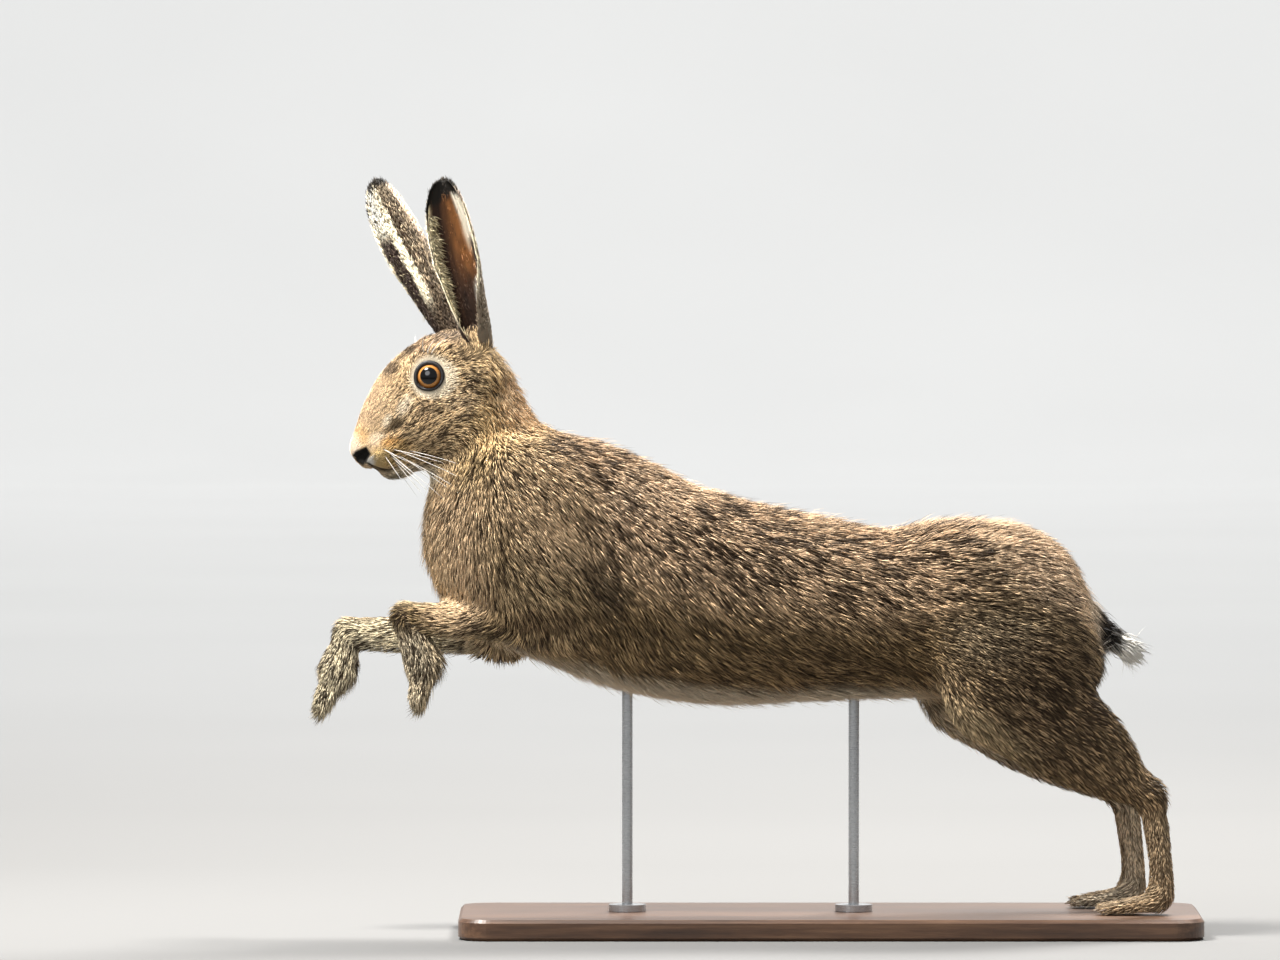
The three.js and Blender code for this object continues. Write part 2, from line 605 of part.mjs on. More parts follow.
// Head with its eyes, jaw and ears
function headParts() {
  const turn = (v) => {
    const p = turnedPoint([HEAD_TURN.x + v[0], v[1], v[2]]);
    return [p[0] - HEAD_TURN.x, p[1], p[2]];
  };
  let whole = region([-384, -50, 320], [-232, 50, 484], CELL.head).intersect(headBlock(GAP / 2));
  const ears = [EAR_LEFT, EAR_RIGHT].map((e) => {
    const up = e.tip.map((v, i) => v - e.root[i]);
    const at = e.root.map((v, i) => v + up[i] * 0.02);
    const axis = new THREE.Vector3(...up).normalize();
    const cutter = new THREE.CylinderGeometry(EAR.rootRadius + 4, EAR.rootRadius + 4, 60, 16);
    whole = whole.subtract(solid(cutter, new THREE.Matrix4().compose(
      new THREE.Vector3(...at).addScaledVector(axis, 30 - GAP / 2),
      new THREE.Quaternion().setFromUnitVectors(new THREE.Vector3(0, 1, 0), axis),
      new THREE.Vector3(1, 1, 1))));
    return solid(earGeometry(e)).intersect(side(at, up));
  });
  for (const s of [-1, 1]) {
    const c = turnedPoint([EYE.x, s * EYE.y, EYE.z]);
    const ball = (r) => solid(new THREE.SphereGeometry(r, 16, 11), new THREE.Matrix4().makeTranslation(...c));
    const gaze = turnedPoint([HEAD_TURN.x + EYE.gaze[0], s * EYE.gaze[1], EYE.gaze[2]]);
    const out = new THREE.Vector3(gaze[0] - HEAD_TURN.x, gaze[1], gaze[2]).normalize();
    const facing = new THREE.Quaternion().setFromUnitVectors(new THREE.Vector3(0, 0, 1), out);
    const placed = (reach) => new THREE.Matrix4().compose(
      new THREE.Vector3(...c).addScaledVector(out, reach), facing, new THREE.Vector3(1, 1, 1));
    const rim = solid(new THREE.TorusGeometry(EYE.lidRing, EYE.lidThickness, 6, 18), placed(EYE.lidOut));
    const opening = new THREE.CylinderGeometry(EYE.opening, EYE.opening, 24, 18).rotateX(Math.PI / 2);
    whole = whole.add(rim).subtract(solid(opening, placed(12))).subtract(ball(EYE.radius + GAP));
    hare.add(mesh(s < 0 ? "eye_left" : "eye_right", ball(EYE.radius), EYE_GLASS));
    const nostril = new THREE.SphereGeometry(1, 10, 8).applyMatrix4(new THREE.Matrix4().compose(
      new THREE.Vector3(...turnedPoint([NOSTRIL.x, s * NOSTRIL.y, NOSTRIL.z])),
      new THREE.Quaternion().setFromEuler(new THREE.Euler(0, deg(NOSTRIL.tilt), deg(s * NOSTRIL.turn))),
      new THREE.Vector3(...NOSTRIL.sizes)));
    whole = whole.subtract(solid(nostril));
  }
  const cleft = new THREE.BoxGeometry(LIP_CLEFT.depth, LIP_CLEFT.width, LIP_CLEFT.height);
  cleft.rotateY(deg(25)).rotateZ(HEAD_TURN.yaw).translate(...turnedPoint([LIP_CLEFT.x, 0, LIP_CLEFT.z]));
  whole = whole.subtract(solid(cleft));
  const jawCut = { at: turnedPoint(CUT.jaw.at), to: turn(CUT.jaw.to) };
  hare.add(mesh("lower_jaw", whole.intersect(side(jawCut.at, jawCut.to)), PALE_FUR));
  hare.add(mesh("head", whole.intersect(otherSide(jawCut.at, jawCut.to)), FUR));
  hare.add(mesh("ear_left", ears[0], EAR_SKIN));
  hare.add(mesh("ear_right", ears[1], EAR_SKIN));
}

// The space of the head, ahead of the nape and above the throat
const headBlock = (clear) => beyond(CUT.head.at, CUT.head.to, clear)
  .intersect(beyond(CUT.throat.at, CUT.throat.to, clear));

function trunkParts() {
  hare.add(mesh("neck", region([-350, -60, 280], [-215, 60, 450], CELL.neck)
    .subtract(headBlock(-GAP / 2)).intersect(side(CUT.neck.at, CUT.neck.to)), FUR));
  let torso = solid(meshRegion(upperBody, [-350, -84, 120], [212, 84, 392], CELL.torso))
    .intersect(otherSide(CUT.neck.at, CUT.neck.to)).subtract(tailSleeve(GAP));
  for (const x of ROD.xs) torso = torso.subtract(standRod(x, GAP));
  for (const l of limbs) {
    torso = torso.subtract(oval(l, l.thigh ? HAUNCH : SHOULDER, GAP)).subtract(limbSleeve(l, GAP));
  }
  hare.add(mesh("torso", torso, FUR));
}

// The sleeve that parts a limb's free length from the trunk
function limbSleeve(l, grow) {
  const [x, z] = l.wrist ?? [0, 0];
  return l.thigh ? sleeve([...l.shank.slice(0, 4), station(258 + l.shift, l.side * 36, 89, 16, 14)], 6 + grow)
    : sleeve([...l.lower.slice(0, 3), station(x - 24, l.side * 22, z - 3, 12, 11)], 3 + grow);
}

function foreLegParts(l, tag) {
  const [low, high] = l.side < 0 ? [-72, 0] : [0, 72];
  const arm = region([-300, low, 180], [-140, high, 372], CELL.shoulder)
    .intersect(oval(l, SHOULDER, 0)).intersect(otherSide(CUT.neck.at, CUT.neck.to));
  hare.add(mesh(`shoulder_${tag}`, arm, FUR));
  const wrist = [l.wrist[0], 0, l.wrist[1]];
  const down = [l.palm[0] - l.wrist[0] - 16, 0, l.palm[1] - l.wrist[1]];
  const fore = region([l.wrist[0] - 30, low, 180], [-180, high, 268], CELL.forearm)
    .intersect(limbSleeve(l, 0)).subtract(oval(l, SHOULDER, GAP)).intersect(otherSide(wrist, down));
  hare.add(mesh(`forearm_${tag}`, fore, FUR));
  let paw = region([l.toes[0] - 24, low, 150], [l.wrist[0] + 34, high, 252], CELL.forepaw)
    .intersect(side(wrist, down));
  for (let i = 0; i < 4; i++) {
    const y = l.side * 21 + (i - 1.5) * FORE_TOE.spread * 1.05;
    const out = Math.abs(i - 1.5);
    const tip = new THREE.Vector3(l.toes[0] + out * 0.5, y, l.toes[1] + out * 2.4);
    paw = paw.add(claw(tip, new THREE.Vector3(-0.2, 0, -1)));
  }
  hare.add(mesh(`forepaw_${tag}`, paw, FUR));
}

// A claw: a short cone, root sunk in the toe, that curves a little towards its own under side
function claw(tip, ahead) {
  const flat = new THREE.Vector3(0, 1, 0);
  const path = (t) => tip.clone().addScaledVector(ahead, (t - 0.35) * CLAW.length)
    .add(new THREE.Vector3(1.5 * t * t, 0, 0));
  return lock(path, CLAW.radius, CLAW.radius, flat, CLAW.sides, CLAW.rings);
}

function hindLegParts(l, tag) {
  const [low, high] = l.side < 0 ? [-84, 0] : [0, 84];
  const thigh = region([46 + l.shift, low, 116], [225, high, 320], CELL.thigh)
    .intersect(oval(l, HAUNCH, 0)).subtract(tailSleeve(GAP));
  hare.add(mesh(`thigh_${tag}`, thigh, FUR));
  const hock = [l.heel[0] + 3, 0, l.heel[1] - 14];
  const step = [0.15, 0, -1];
  const shank = region([70 + l.shift, low, 80], [265 + l.shift, high, 240], CELL.shank)
    .intersect(limbSleeve(l, 0)).subtract(oval(l, HAUNCH, GAP)).intersect(otherSide(hock, step));
  hare.add(mesh(`shank_${tag}`, shank, FUR));
  let foot = region([l.knuckle[0] - 60, low, 6], [l.knuckle[0] + 26, high, 116], CELL.hindfoot)
    .intersect(side(hock, step));
  foot = foot.intersect(side([0, 0, GROUND - GAP / 2], [0, 0, 1]));
  for (let i = 0; i < 4; i++) {
    const y = l.side * 37 + (i - 1.5) * HIND_TOE.spread * 1.1;
    const reach = HIND_TOE.length * (1 - 0.09 * Math.abs(i - 1.5));
    const tip = new THREE.Vector3(l.knuckle[0] - reach - 1.5, y, GROUND + 4.4);
    foot = foot.add(claw(tip, new THREE.Vector3(-1, 0, -0.12)));
  }
  hare.add(mesh(`hindfoot_${tag}`, foot, FUR));
}

// The tail's sleeve starts inside the rump and runs past the tip of the flesh
function tailSleeve(grow) {
  const [r, t] = [TAIL.root, TAIL.tip];
  return sleeve([station(r[0] - 4, 0, r[2] + 3, 15, 15), station(t[0] + 12, 0, t[2] - 10, 22, 22)], grow);
}

// The tail: a tapering stub with rows of locks that lie back along it, shorter above than below
function tailPart() {
  const root = new THREE.Vector3(...TAIL.root);
  const along = new THREE.Vector3(...TAIL.tip).sub(root);
  const length = along.length();
  along.normalize();
  const across = new THREE.Vector3(0, 1, 0);
  const up = new THREE.Vector3().crossVectors(along, across).negate();
  let tail = solid(meshRegion(tailRoot, [150, -34, 170], [240, 34, 262], CELL.tail)).intersect(tailSleeve(0));
  for (let row = 0; row < TAIL.rows; row++) {
    const t = lerp(0.14, 0.62, row / (TAIL.rows - 1));
    for (let i = 0; i < TAIL.locks; i++) {
      const angle = (2 * Math.PI * (i + 0.5 * (row % 2))) / TAIL.locks;
      const out = across.clone().multiplyScalar(Math.sin(angle)).addScaledVector(up, Math.cos(angle));
      const reach = TAIL.lockLength * (1 - 0.12 * Math.cos(angle));
      const start = root.clone().addScaledVector(along, t * length)
        .addScaledVector(out, TAIL.radius * (0.8 - 0.45 * t));
      const path = (q) => start.clone().addScaledVector(along, reach * q)
        .addScaledVector(out, TAIL.flare * Math.sin(Math.PI * 0.62 * q));
      tail = tail.add(lock(path, TAIL.lockWidth, TAIL.lockThickness, out, 5, 3));
    }
  }
  tail = tail.intersect(side([TAIL.root[0] - 3, 0, TAIL.root[2] + 2], along.toArray()));
  hare.add(mesh("tail", tail, WHITE_FUR));
}

function roundedBoard(length, width, corner) {
  const shape = new THREE.Shape();
  const [x, y, r] = [length / 2, width / 2, corner];
  shape.moveTo(-x + r, -y).lineTo(x - r, -y).absarc(x - r, -y + r, r, -Math.PI / 2, 0, false);
  shape.lineTo(x, y - r).absarc(x - r, y - r, r, 0, Math.PI / 2, false);
  shape.lineTo(-x + r, y).absarc(-x + r, y - r, r, Math.PI / 2, Math.PI, false);
  shape.lineTo(-x, -y + r).absarc(-x + r, -y + r, r, Math.PI, Math.PI * 1.5, false);
  return shape;
}

// The board that carries the rods and the hind feet
function standBase() {
  const [b, inset] = [BASE.bevel, 2 * BASE.bevel];
  const top = roundedBoard(BASE.length - inset, BASE.width - inset, BASE.corner - b);
  const board = new THREE.ExtrudeGeometry(top, { depth: BASE.thickness - inset, curveSegments: 6,
    bevelThickness: b, bevelSize: b, bevelSegments: 1 });
  hare.add(mesh("stand_base", solid(board.translate(0, 0, b)), OAK));
}

// A rod on its round foot. Its top sits in a socket in the belly.
function standRod(x, grow = 0) {
  const upright = (r, z0, z1, sides) => solid(new THREE.CylinderGeometry(r, r, z1 - z0, sides)
    .rotateX(Math.PI / 2).translate(x, 0, (z0 + z1) / 2));
  const top = ROD.tops[ROD.xs.indexOf(x)];
  const rod = upright(ROD.radius + grow, GROUND, top + grow, ROD.sides);
  return grow ? rod : rod.add(upright(FLANGE.radius, GROUND, GROUND + FLANGE.height, FLANGE.sides));
}

headParts();
trunkParts();
foreLegParts(FORE_LEFT, "left");
foreLegParts(FORE_RIGHT, "right");
hindLegParts(HIND_LEFT, "left");
hindLegParts(HIND_RIGHT, "right");
tailPart();
standBase();
ROD.xs.forEach((x, i) => hare.add(mesh(i ? "stand_rod_rear" : "stand_rod_front", standRod(x), STEEL)));
export default hare;
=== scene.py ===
"""A brown hare at life size, held in its bound on a plain display stand.

Lengths in this file are millimetres until a mesh is made. X runs from the nose (negative) to the tail, the
hare's left side faces -Y, +Z is up, and the origin is the centre of the base board's underside.
"""

import logging
import math
from dataclasses import dataclass, fields
from enum import Enum
from itertools import product
from typing import Callable, Optional, Sequence, Union

import bpy
import numpy as np
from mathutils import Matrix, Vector


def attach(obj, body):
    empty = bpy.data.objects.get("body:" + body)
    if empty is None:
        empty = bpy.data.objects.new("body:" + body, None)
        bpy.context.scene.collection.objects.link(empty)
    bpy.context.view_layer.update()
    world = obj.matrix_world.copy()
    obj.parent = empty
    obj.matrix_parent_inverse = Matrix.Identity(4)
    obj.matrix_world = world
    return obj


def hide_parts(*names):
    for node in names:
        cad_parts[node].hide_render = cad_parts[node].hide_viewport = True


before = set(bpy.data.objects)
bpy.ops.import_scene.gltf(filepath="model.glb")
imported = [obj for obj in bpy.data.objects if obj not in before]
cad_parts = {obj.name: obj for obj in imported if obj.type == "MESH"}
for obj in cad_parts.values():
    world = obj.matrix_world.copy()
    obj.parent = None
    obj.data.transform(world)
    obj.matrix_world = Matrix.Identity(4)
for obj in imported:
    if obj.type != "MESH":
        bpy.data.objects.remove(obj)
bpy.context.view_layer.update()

Array = np.ndarray
Form = Callable[[Array], Array]
Number = Union[float, Array]
Colour = tuple[float, float, float]
MM = 0.001
TINY = 1e-9
LOG = logging.getLogger("hare")

NET_SCALE, SPACING_SCALE, WIDTH_SCALE, EAR_SHARE = ((1.0, 1.0, 1.0, 1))

# The hare's left and right along Y, and the height of its soles, just over the board's top
SIDES = (-1, 1)
GROUND = 16.3

# The spine, the neck and the head: x, y, z of each station, then its half depth and its half width
TRUNK = [
    (-250, 0, 292, 44, 38), (-222, 0, 297, 80, 49), (-180, 0, 281, 87, 54), (-135, 0, 264, 82, 57),
    (-75, 0, 250, 78, 58), (-15, 0, 244, 72, 56), (37, 0, 240, 66, 52), (88, 0, 243, 68, 50),
    (129, 0, 242, 61, 46), (156, 0, 233, 44, 38),
]
NECK = [(-273, -2, 417, 32, 26), (-262, -1, 382, 40, 30), (-257, 0, 338, 42, 34), (-252, 0, 298, 46, 40)]
HEAD = [
    (-348.5, 0, 364, 12, 10), (-341.5, 0, 369, 18, 13.5), (-331.5, 0, 376, 25, 17), (-318, 0, 388, 33.5, 21),
    (-303, 0, 401, 39.5, 23.5), (-287, 0, 409, 41, 24), (-272, 0, 407, 32, 22),
]
JAW = [(-330, 0, 351, 9, 8.5), (-315, 0, 359, 14, 13), (-292, 0, 376, 20, 19)]
HEAD_YAW = math.radians(8)
HEAD_PIVOT = np.array([-264.0, 0.0, 0.0])

# Elbow, wrist, palm and toe tips of each foreleg, x and z, and how far each hind leg is moved along X
FORE_JOINTS = {-1: ((-206, 236), (-317, 238), (-306, 204), (-310, 175)),
               1: ((-246, 224), (-361, 224), (-371, 197), (-384, 169))}
HIND_SHIFT = {-1: 0.0, 1: -18.0}

# How far the paws and the hind feet are from the middle plane, the hind knuckles' x, and the toes' sizes
FORE_OUT, HIND_OUT, KNUCKLE = 21, 37, 245
FORE_TOE = {"count": 4, "spread": 6.2, "radius": 7.5, "width": 4.6}
HIND_TOE = {"count": 4, "spread": 6.6, "radius": 6.4, "width": 5.0, "length": 42.0}
CLAW_RADIUS, CLAW_LENGTH = 1.7, 12.0

EYE_PLACE = (-301.6, 14.8, 417.6)
EYE_GAZE = (-0.26, 0.95, 0.14)
EYE_RADIUS = 11.2
HAIRLESS_RADIUS = 11.9

# Where hair is parted round an eye, raised round an ear, and shorter round an ear: the radii of none and all
PARTED_ROUND_EYE, RAISED_ROUND_EAR, SHORT_ROUND_EAR = (30, 15), (21, 13), (28, 17)

TAIL_ROOT = [(150, 0, 240, 26, 22), (180, 0, 240, 14, 13), (198, 0, 228, 11, 11), (216, 0, 217, 7, 7)]

# The line of the mouth in the side view, x and z from the nose to the corner, on the straight head
MOUTH = [(-351, 354.5), (-346, 350.2), (-339, 347.2), (-333, 346.6), (-325, 349.0), (-316, 351.5)]


def smooth(low: float, high: float, value: Number) -> Number:
    """0 below low, 1 above high, and an even S curve between. Low may be the larger of the two."""
    t = np.clip((value - low) / (high - low), 0.0, 1.0)
    return t * t * (3 - 2 * t)


def unit(vectors: Array) -> Array:
    """The same directions with length 1."""
    return vectors / np.maximum(np.linalg.norm(vectors, axis=-1, keepdims=True), TINY)


def flattened(vectors: Array, normals: Array) -> Array:
    """What is left of the vectors once their part along the normals is taken out."""
    return vectors - normals * (vectors * normals).sum(axis=1, keepdims=True)


def circle(steps: int) -> Array:
    """The angles of even steps round a circle."""
    return np.arange(steps) * 2 * math.pi / steps


def blend(low: Array, high: Union[Array, Colour], amount: Array) -> Array:
    """Rows of low turned into rows of high, or into one colour, by amount from 0 to 1."""
    return low + (np.asarray(high) - low) * np.asarray(amount)[..., None]


def layered(base: Array, *layers: tuple[Colour, Array]) -> Array:
    """Rows of colours with each layer's colour laid over them in turn, by its amount from 0 to 1."""
    for colour, amount in layers:
        base = blend(base, colour, amount)
    return base


def hashed(cells: Array, seed: int) -> Array:
    """A steady random number from 0 to 1 for each whole-numbered cell.

    Args:
        cells: cell numbers, (..., 3).
        seed: which set of numbers.
    Returns:
        One number a cell: the cell's coordinates times large primes, mixed bit by bit.
    """
    c = cells.astype(np.int64)
    h = (c[..., 0] * 73856093) ^ (c[..., 1] * 19349663) ^ (c[..., 2] * 83492791) ^ (seed * 668265263)
    h = ((h ^ (h >> 13)) * 1274126177) & 0xFFFFFFFF
    h = ((h ^ (h >> 15)) * 2246822519) & 0xFFFFFFFF
    return ((h ^ (h >> 16)) & 0xFFFFFF) / float(0x1000000)


def noise(points: Array, size: float, seed: int = 0) -> Array:
    """Smooth noise from -1 to 1 with lumps about size across: hashed corners of a lattice, blended."""
    q = points / size
    base = np.floor(q)
    f = q - base
    f = f * f * (3 - 2 * f)
    total = np.zeros(len(points))
    for corner in product((0, 1), repeat=3):
        weight = np.prod(np.where(np.array(corner) > 0, f, 1 - f), axis=1)
        total += weight * hashed(base + corner, seed)
    return 2 * total - 1


def streaks(points: Array, lie: Array, size: float, reach: float, seed: int) -> Array:
    """Noise from -1 to 1 drawn out along the lie: the mean of plain noise at steps up to reach each way."""
    steps = np.linspace(-reach, reach, 5)
    total = sum(noise(points + lie * step, size, seed) for step in steps)
    return np.clip(total / len(steps) * 3.2, -1.0, 1.0)


def clumps(points: Array, size: float, seed: int) -> Array:
    """The nearest of the spots scattered one to a cube of side size."""
    base = np.floor(points / size)
    best = np.full(len(points), np.inf)
    centre = np.zeros_like(points)
    for corner in product((-1, 0, 1), repeat=3):
        cell = base + corner
        spot = (cell + np.stack([hashed(cell, seed + k) for k in (1, 2, 3)], axis=1)) * size
        gap = ((spot - points) ** 2).sum(axis=1)
        closer = gap < best
        best = np.where(closer, gap, best)
        centre[closer] = spot[closer]
    return centre


# The flesh: the same tubes and lumps as in the solids, as distances over whole arrays of points
REACH = 34.0


def spline(stations: Sequence[Sequence[float]], steps: int = 4) -> Array:
    """Stations on a Catmull-Rom curve through the given ones, steps to a span."""
    p = np.asarray(stations, float)
    p = np.vstack([p[:1], p, p[-1:]])
    t = (np.arange(steps) / steps)[None, :, None]
    p0, p1, p2, p3 = (p[i:len(p) - 3 + i, None, :] for i in range(4))
    curve = 0.5 * (2 * p1 + (p2 - p0) * t + (2 * p0 - 5 * p1 + 4 * p2 - p3) * t ** 2
                   + (3 * p1 - p0 - 3 * p2 + p3) * t ** 3)
    return np.vstack([curve.reshape(-1, p.shape[1]), p[-2:-1]])


def oval_distance(across: Array, along: Array, width: Array, depth: Array) -> Array:
    """Distance to an ellipse: k0 (k0 - 1) / k1, with k0 the scaled radius and k1 its slope."""
    k0 = np.hypot(across / width, along / depth)
    k1 = np.hypot(across / width ** 2, along / depth ** 2)
    return np.where(k1 > TINY, k0 * (k0 - 1) / np.maximum(k1, TINY), -np.minimum(width, depth))


class Tube:
    """A round form along a curve of stations, each ring an ellipse: its width across, its depth upright."""

    def __init__(self, stations: Sequence[Sequence[float]]) -> None:
        """Takes the stations and keeps the box outside which the tube is out of reach."""
        self.knots = spline(stations)
        reach = self.knots[:, 3:].max() + REACH
        self.low = self.knots[:, :3].min(axis=0) - reach
        self.high = self.knots[:, :3].max(axis=0) + reach

    def __call__(self, points: Array) -> Array:
        """Distance to the tube, never over REACH for points outside its box."""
        result = np.full(len(points), REACH)
        near = np.all((points > self.low) & (points < self.high), axis=1)
        if near.any():
            result[near] = self.locate(points[near])[0]
        return result

    def locate(self, points: Array) -> tuple[Array, Array, Array, Array]:
        """Where points lie against the tube.

        Args:
            points: (N, 3).
        Returns:
            Distance, place along from 0 to 1, the tube's direction there, and the offset from its centre.
        """
        best = np.full(len(points), np.inf)
        along, heading, offset = np.zeros(len(points)), np.zeros_like(points), np.zeros_like(points)
        spans = len(self.knots) - 1
        for i in range(spans):
            a, b = self.knots[i], self.knots[i + 1]
            span = b[:3] - a[:3]
            t = np.clip((points - a[:3]) @ span / (span @ span), 0, 1)
            off = points - (a[:3] + t[:, None] * span)
            d = oval_distance(off[:, 1], np.hypot(off[:, 0], off[:, 2]),
                              a[4] + t * (b[4] - a[4]), a[3] + t * (b[3] - a[3]))
            closer = d < best
            best = np.where(closer, d, best)
            along[closer] = (i + t[closer]) / spans
            heading[closer] = span / np.linalg.norm(span)
            offset[closer] = off[closer]
        return best, along, heading, offset


class Lump:
    """An ellipsoid with half sizes along, across and high, tilted about Y, and mirrored if it is a pair."""

    def __init__(self, centre: Sequence[float], sizes: Sequence[float], tilt: float = 0,
                 pair: bool = False) -> None:
        """Takes the centre, the half sizes, the tilt in degrees, and whether there is one on each side."""
        self.centre, self.sizes, self.pair = np.array(centre, float), np.array(sizes, float), pair
        self.c, self.s = math.cos(math.radians(tilt)), math.sin(math.radians(tilt))

    def scaled(self, points: Array) -> Array:
        """Points in the lump's own axes, from its centre."""
        x, y, z = points.T
        x, y, z = x - self.centre[0], (np.abs(y) if self.pair else y) - self.centre[1], z - self.centre[2]
        return np.stack([x * self.c + z * self.s, y, z * self.c - x * self.s], axis=1)

    def __call__(self, points: Array) -> Array:
        """Distance to the lump, by the ellipse formula in three dimensions."""
        q = self.scaled(points)
        k0 = np.linalg.norm(q / self.sizes, axis=1)
        k1 = np.linalg.norm(q / self.sizes ** 2, axis=1)
        return np.where(k1 > TINY, k0 * (k0 - 1) / np.maximum(k1, TINY), -self.sizes.min())

    def inside(self, points: Array, softness: float = 0.5) -> Array:
        """1 inside the lump, falling to 0 over softness of its radius about its edge."""
        radius = np.linalg.norm(self.scaled(points) / self.sizes, axis=1)
        return smooth(1 + softness / 2, 1 - softness / 2, radius)


def melt(a: Array, b: Array, size: float) -> Array:
    """Joins two distances with a fillet of about that size."""
    h = np.maximum(size - np.abs(a - b), 0) / size
    return np.minimum(a, b) - h * h * size / 4


def melt_all(forms: Sequence[Form], size: float) -> Form:
    """One form that melts the given ones together."""
    def joined(points: Array) -> Array:
        """The forms' distances, melted one after the other."""
        d = forms[0](points)
        for form in forms[1:]:
            d = melt(d, form(points), size)
        return d

    return joined


def nearest(forms: Sequence[Form]) -> Form:
    """One form that is the union of the given ones."""
    return lambda points: np.minimum.reduce([form(points) for form in forms])


def straightened(points: Array, back: bool = False) -> Array:
    """Points in the head's own straight frame, or from that frame back into the world."""
    angle = HEAD_YAW if back else -HEAD_YAW
    c, s = math.cos(angle), math.sin(angle)
    x, y, z = np.moveaxis(points - HEAD_PIVOT, -1, 0)
    return np.stack([x * c - y * s, x * s + y * c, z], axis=-1) + HEAD_PIVOT


def turned(headings: Array) -> Array:
    """Directions of the head's own straight frame in the world."""
    return straightened(headings + HEAD_PIVOT, back=True) - HEAD_PIVOT


def eye_axes(side: int) -> tuple[Array, Array]:
    """The centre of one eye and the direction it looks in, in the world."""
    centre = straightened(np.array([EYE_PLACE]) * (1, side, 1), back=True)[0]
    return centre, turned(unit(np.array([EYE_GAZE]) * (1, side, 1)))[0]


def mouth_gap(straight: Array) -> Array:
    """How far points of the straight head are from the line of the mouth, in the side view."""
    best = np.full(len(straight), np.inf)
    side = straight[:, [0, 2]]
    for a, b in zip(np.array(MOUTH[:-1]), np.array(MOUTH[1:])):
        t = np.clip((side - a) @ (b - a) / ((b - a) @ (b - a)), 0, 1)
        best = np.minimum(best, np.linalg.norm(side - a - t[:, None] * (b - a), axis=1))
    return best


def lerp(a: Number, b: Number, t: Number) -> Number:
    """From a to b by t."""
    return a + (b - a) * t


def fore_leg(side: int) -> dict[str, list]:
    """The stations of one foreleg: the upper arm, the forearm and the paw."""
    elbow, wrist, palm, _ = FORE_JOINTS[side]
    mid = (lerp(-236, elbow[0], 0.5), side * 36, lerp(322, elbow[1], 0.55), 36, 17)
    joint = (wrist[0], side * 22, wrist[1], 11, 11)

    def forearm(t: float, y: float, depth: float, width: float) -> tuple:
        """A station t of the way from the elbow to the wrist."""
        return (lerp(elbow[0], wrist[0], t), side * y, lerp(elbow[1], wrist[1], t), depth, width)

    return {
        "upper": [(-236, side * 30, 322, 40, 16), mid, (elbow[0], side * 31, elbow[1] + 6, 25, 14)],
        "lower": [(elbow[0] + 2, side * 30, elbow[1] + 4, 19, 13), forearm(0.45, 26, 14.5, 11.5),
                  forearm(0.85, 23, 12.5, 10.5), (wrist[0], side * 22, wrist[1], 11.5, 11)],
        "paw": [joint, (lerp(wrist[0], palm[0], 0.5), side * 21.5, lerp(wrist[1], palm[1], 0.5), 12, 11.5),
                (palm[0], side * FORE_OUT, palm[1], 13.5, 12.5)],
    }


def hind_leg(side: int) -> dict[str, list]:
    """The stations of one hind leg: the thigh, the shank and the foot."""
    s = HIND_SHIFT[side]
    return {
        "thigh": [(138 + s * 0.2, side * 30, 254, 48, 22), (132 + s * 0.5, side * 37, 218, 54, 24),
                  (128 + s, side * 40, 186, 44, 21)],
        "shank": [(128 + s, side * 40, 186, 44, 21), (163 + s, side * 39, 161, 41, 19),
                  (192 + s, side * 38, 140, 33, 16), (218 + s, side * 36, 119, 20, 12.5),
                  (239 + s, side * 36, 104, 12.5, 10.5)],
        "foot": [(237 + s, side * 36, 107, 12, 10.5), (243 + s, side * 36, 84, 10.5, 10),
                 (247 + s, side * HIND_OUT, 52, 9.5, 10.5), (247 + s, side * HIND_OUT, 33, 11, 12)],
    }


def toe_places(toes: dict) -> list[float]:
    """The toes of one foot, counted from its middle."""
    return [i - (toes["count"] - 1) / 2 for i in range(toes["count"])]


def hind_reach(place: float) -> float:
    """How far a hind toe reaches ahead of the knuckles: less for the outer toes."""
    return HIND_TOE["length"] * (1 - 0.09 * abs(place))


def fore_toes(side: int) -> list[list]:
    """The stations of a forepaw's toes, side by side from the knuckles to the tips."""
    _, _, start, end = FORE_JOINTS[side]
    toes = []
    for place in toe_places(FORE_TOE):
        reach = 1 - 0.1 * abs(place)
        radius, width = FORE_TOE["radius"], FORE_TOE["width"]

        def toe(t: float, along: float, depth: float, half: float) -> tuple:
            """A station along the toe."""
            y = side * FORE_OUT + place * FORE_TOE["spread"] * lerp(0.7, 1.05, t)
            return (lerp(start[0], end[0], along), y, lerp(start[1], end[1], along), depth, half)

        toes.append([toe(0, 0, radius, width), toe(0.6, 0.6 * reach, radius, width),
                     toe(1, reach, radius * 0.7, width * 0.8)])
    return toes


def hind_toes(side: int) -> list[list]:
    """The stations of a hind foot's toes."""
    knuckle = KNUCKLE + HIND_SHIFT[side]
    radius, width = HIND_TOE["radius"], HIND_TOE["width"]
    z = GROUND + radius - 0.8
    toes = []
    for place in toe_places(HIND_TOE):
        off, y, reach = place * HIND_TOE["spread"], side * HIND_OUT, hind_reach(place)
        toes.append([(knuckle, y + off * 0.7, z + 4, radius + 2, width + 0.5),
                     (knuckle - reach * 0.5, y + off, z + 1.5, radius, width),
                     (knuckle - reach, y + off * 1.1, z - 0.8, radius - 1.6, width - 1)])
    return toes


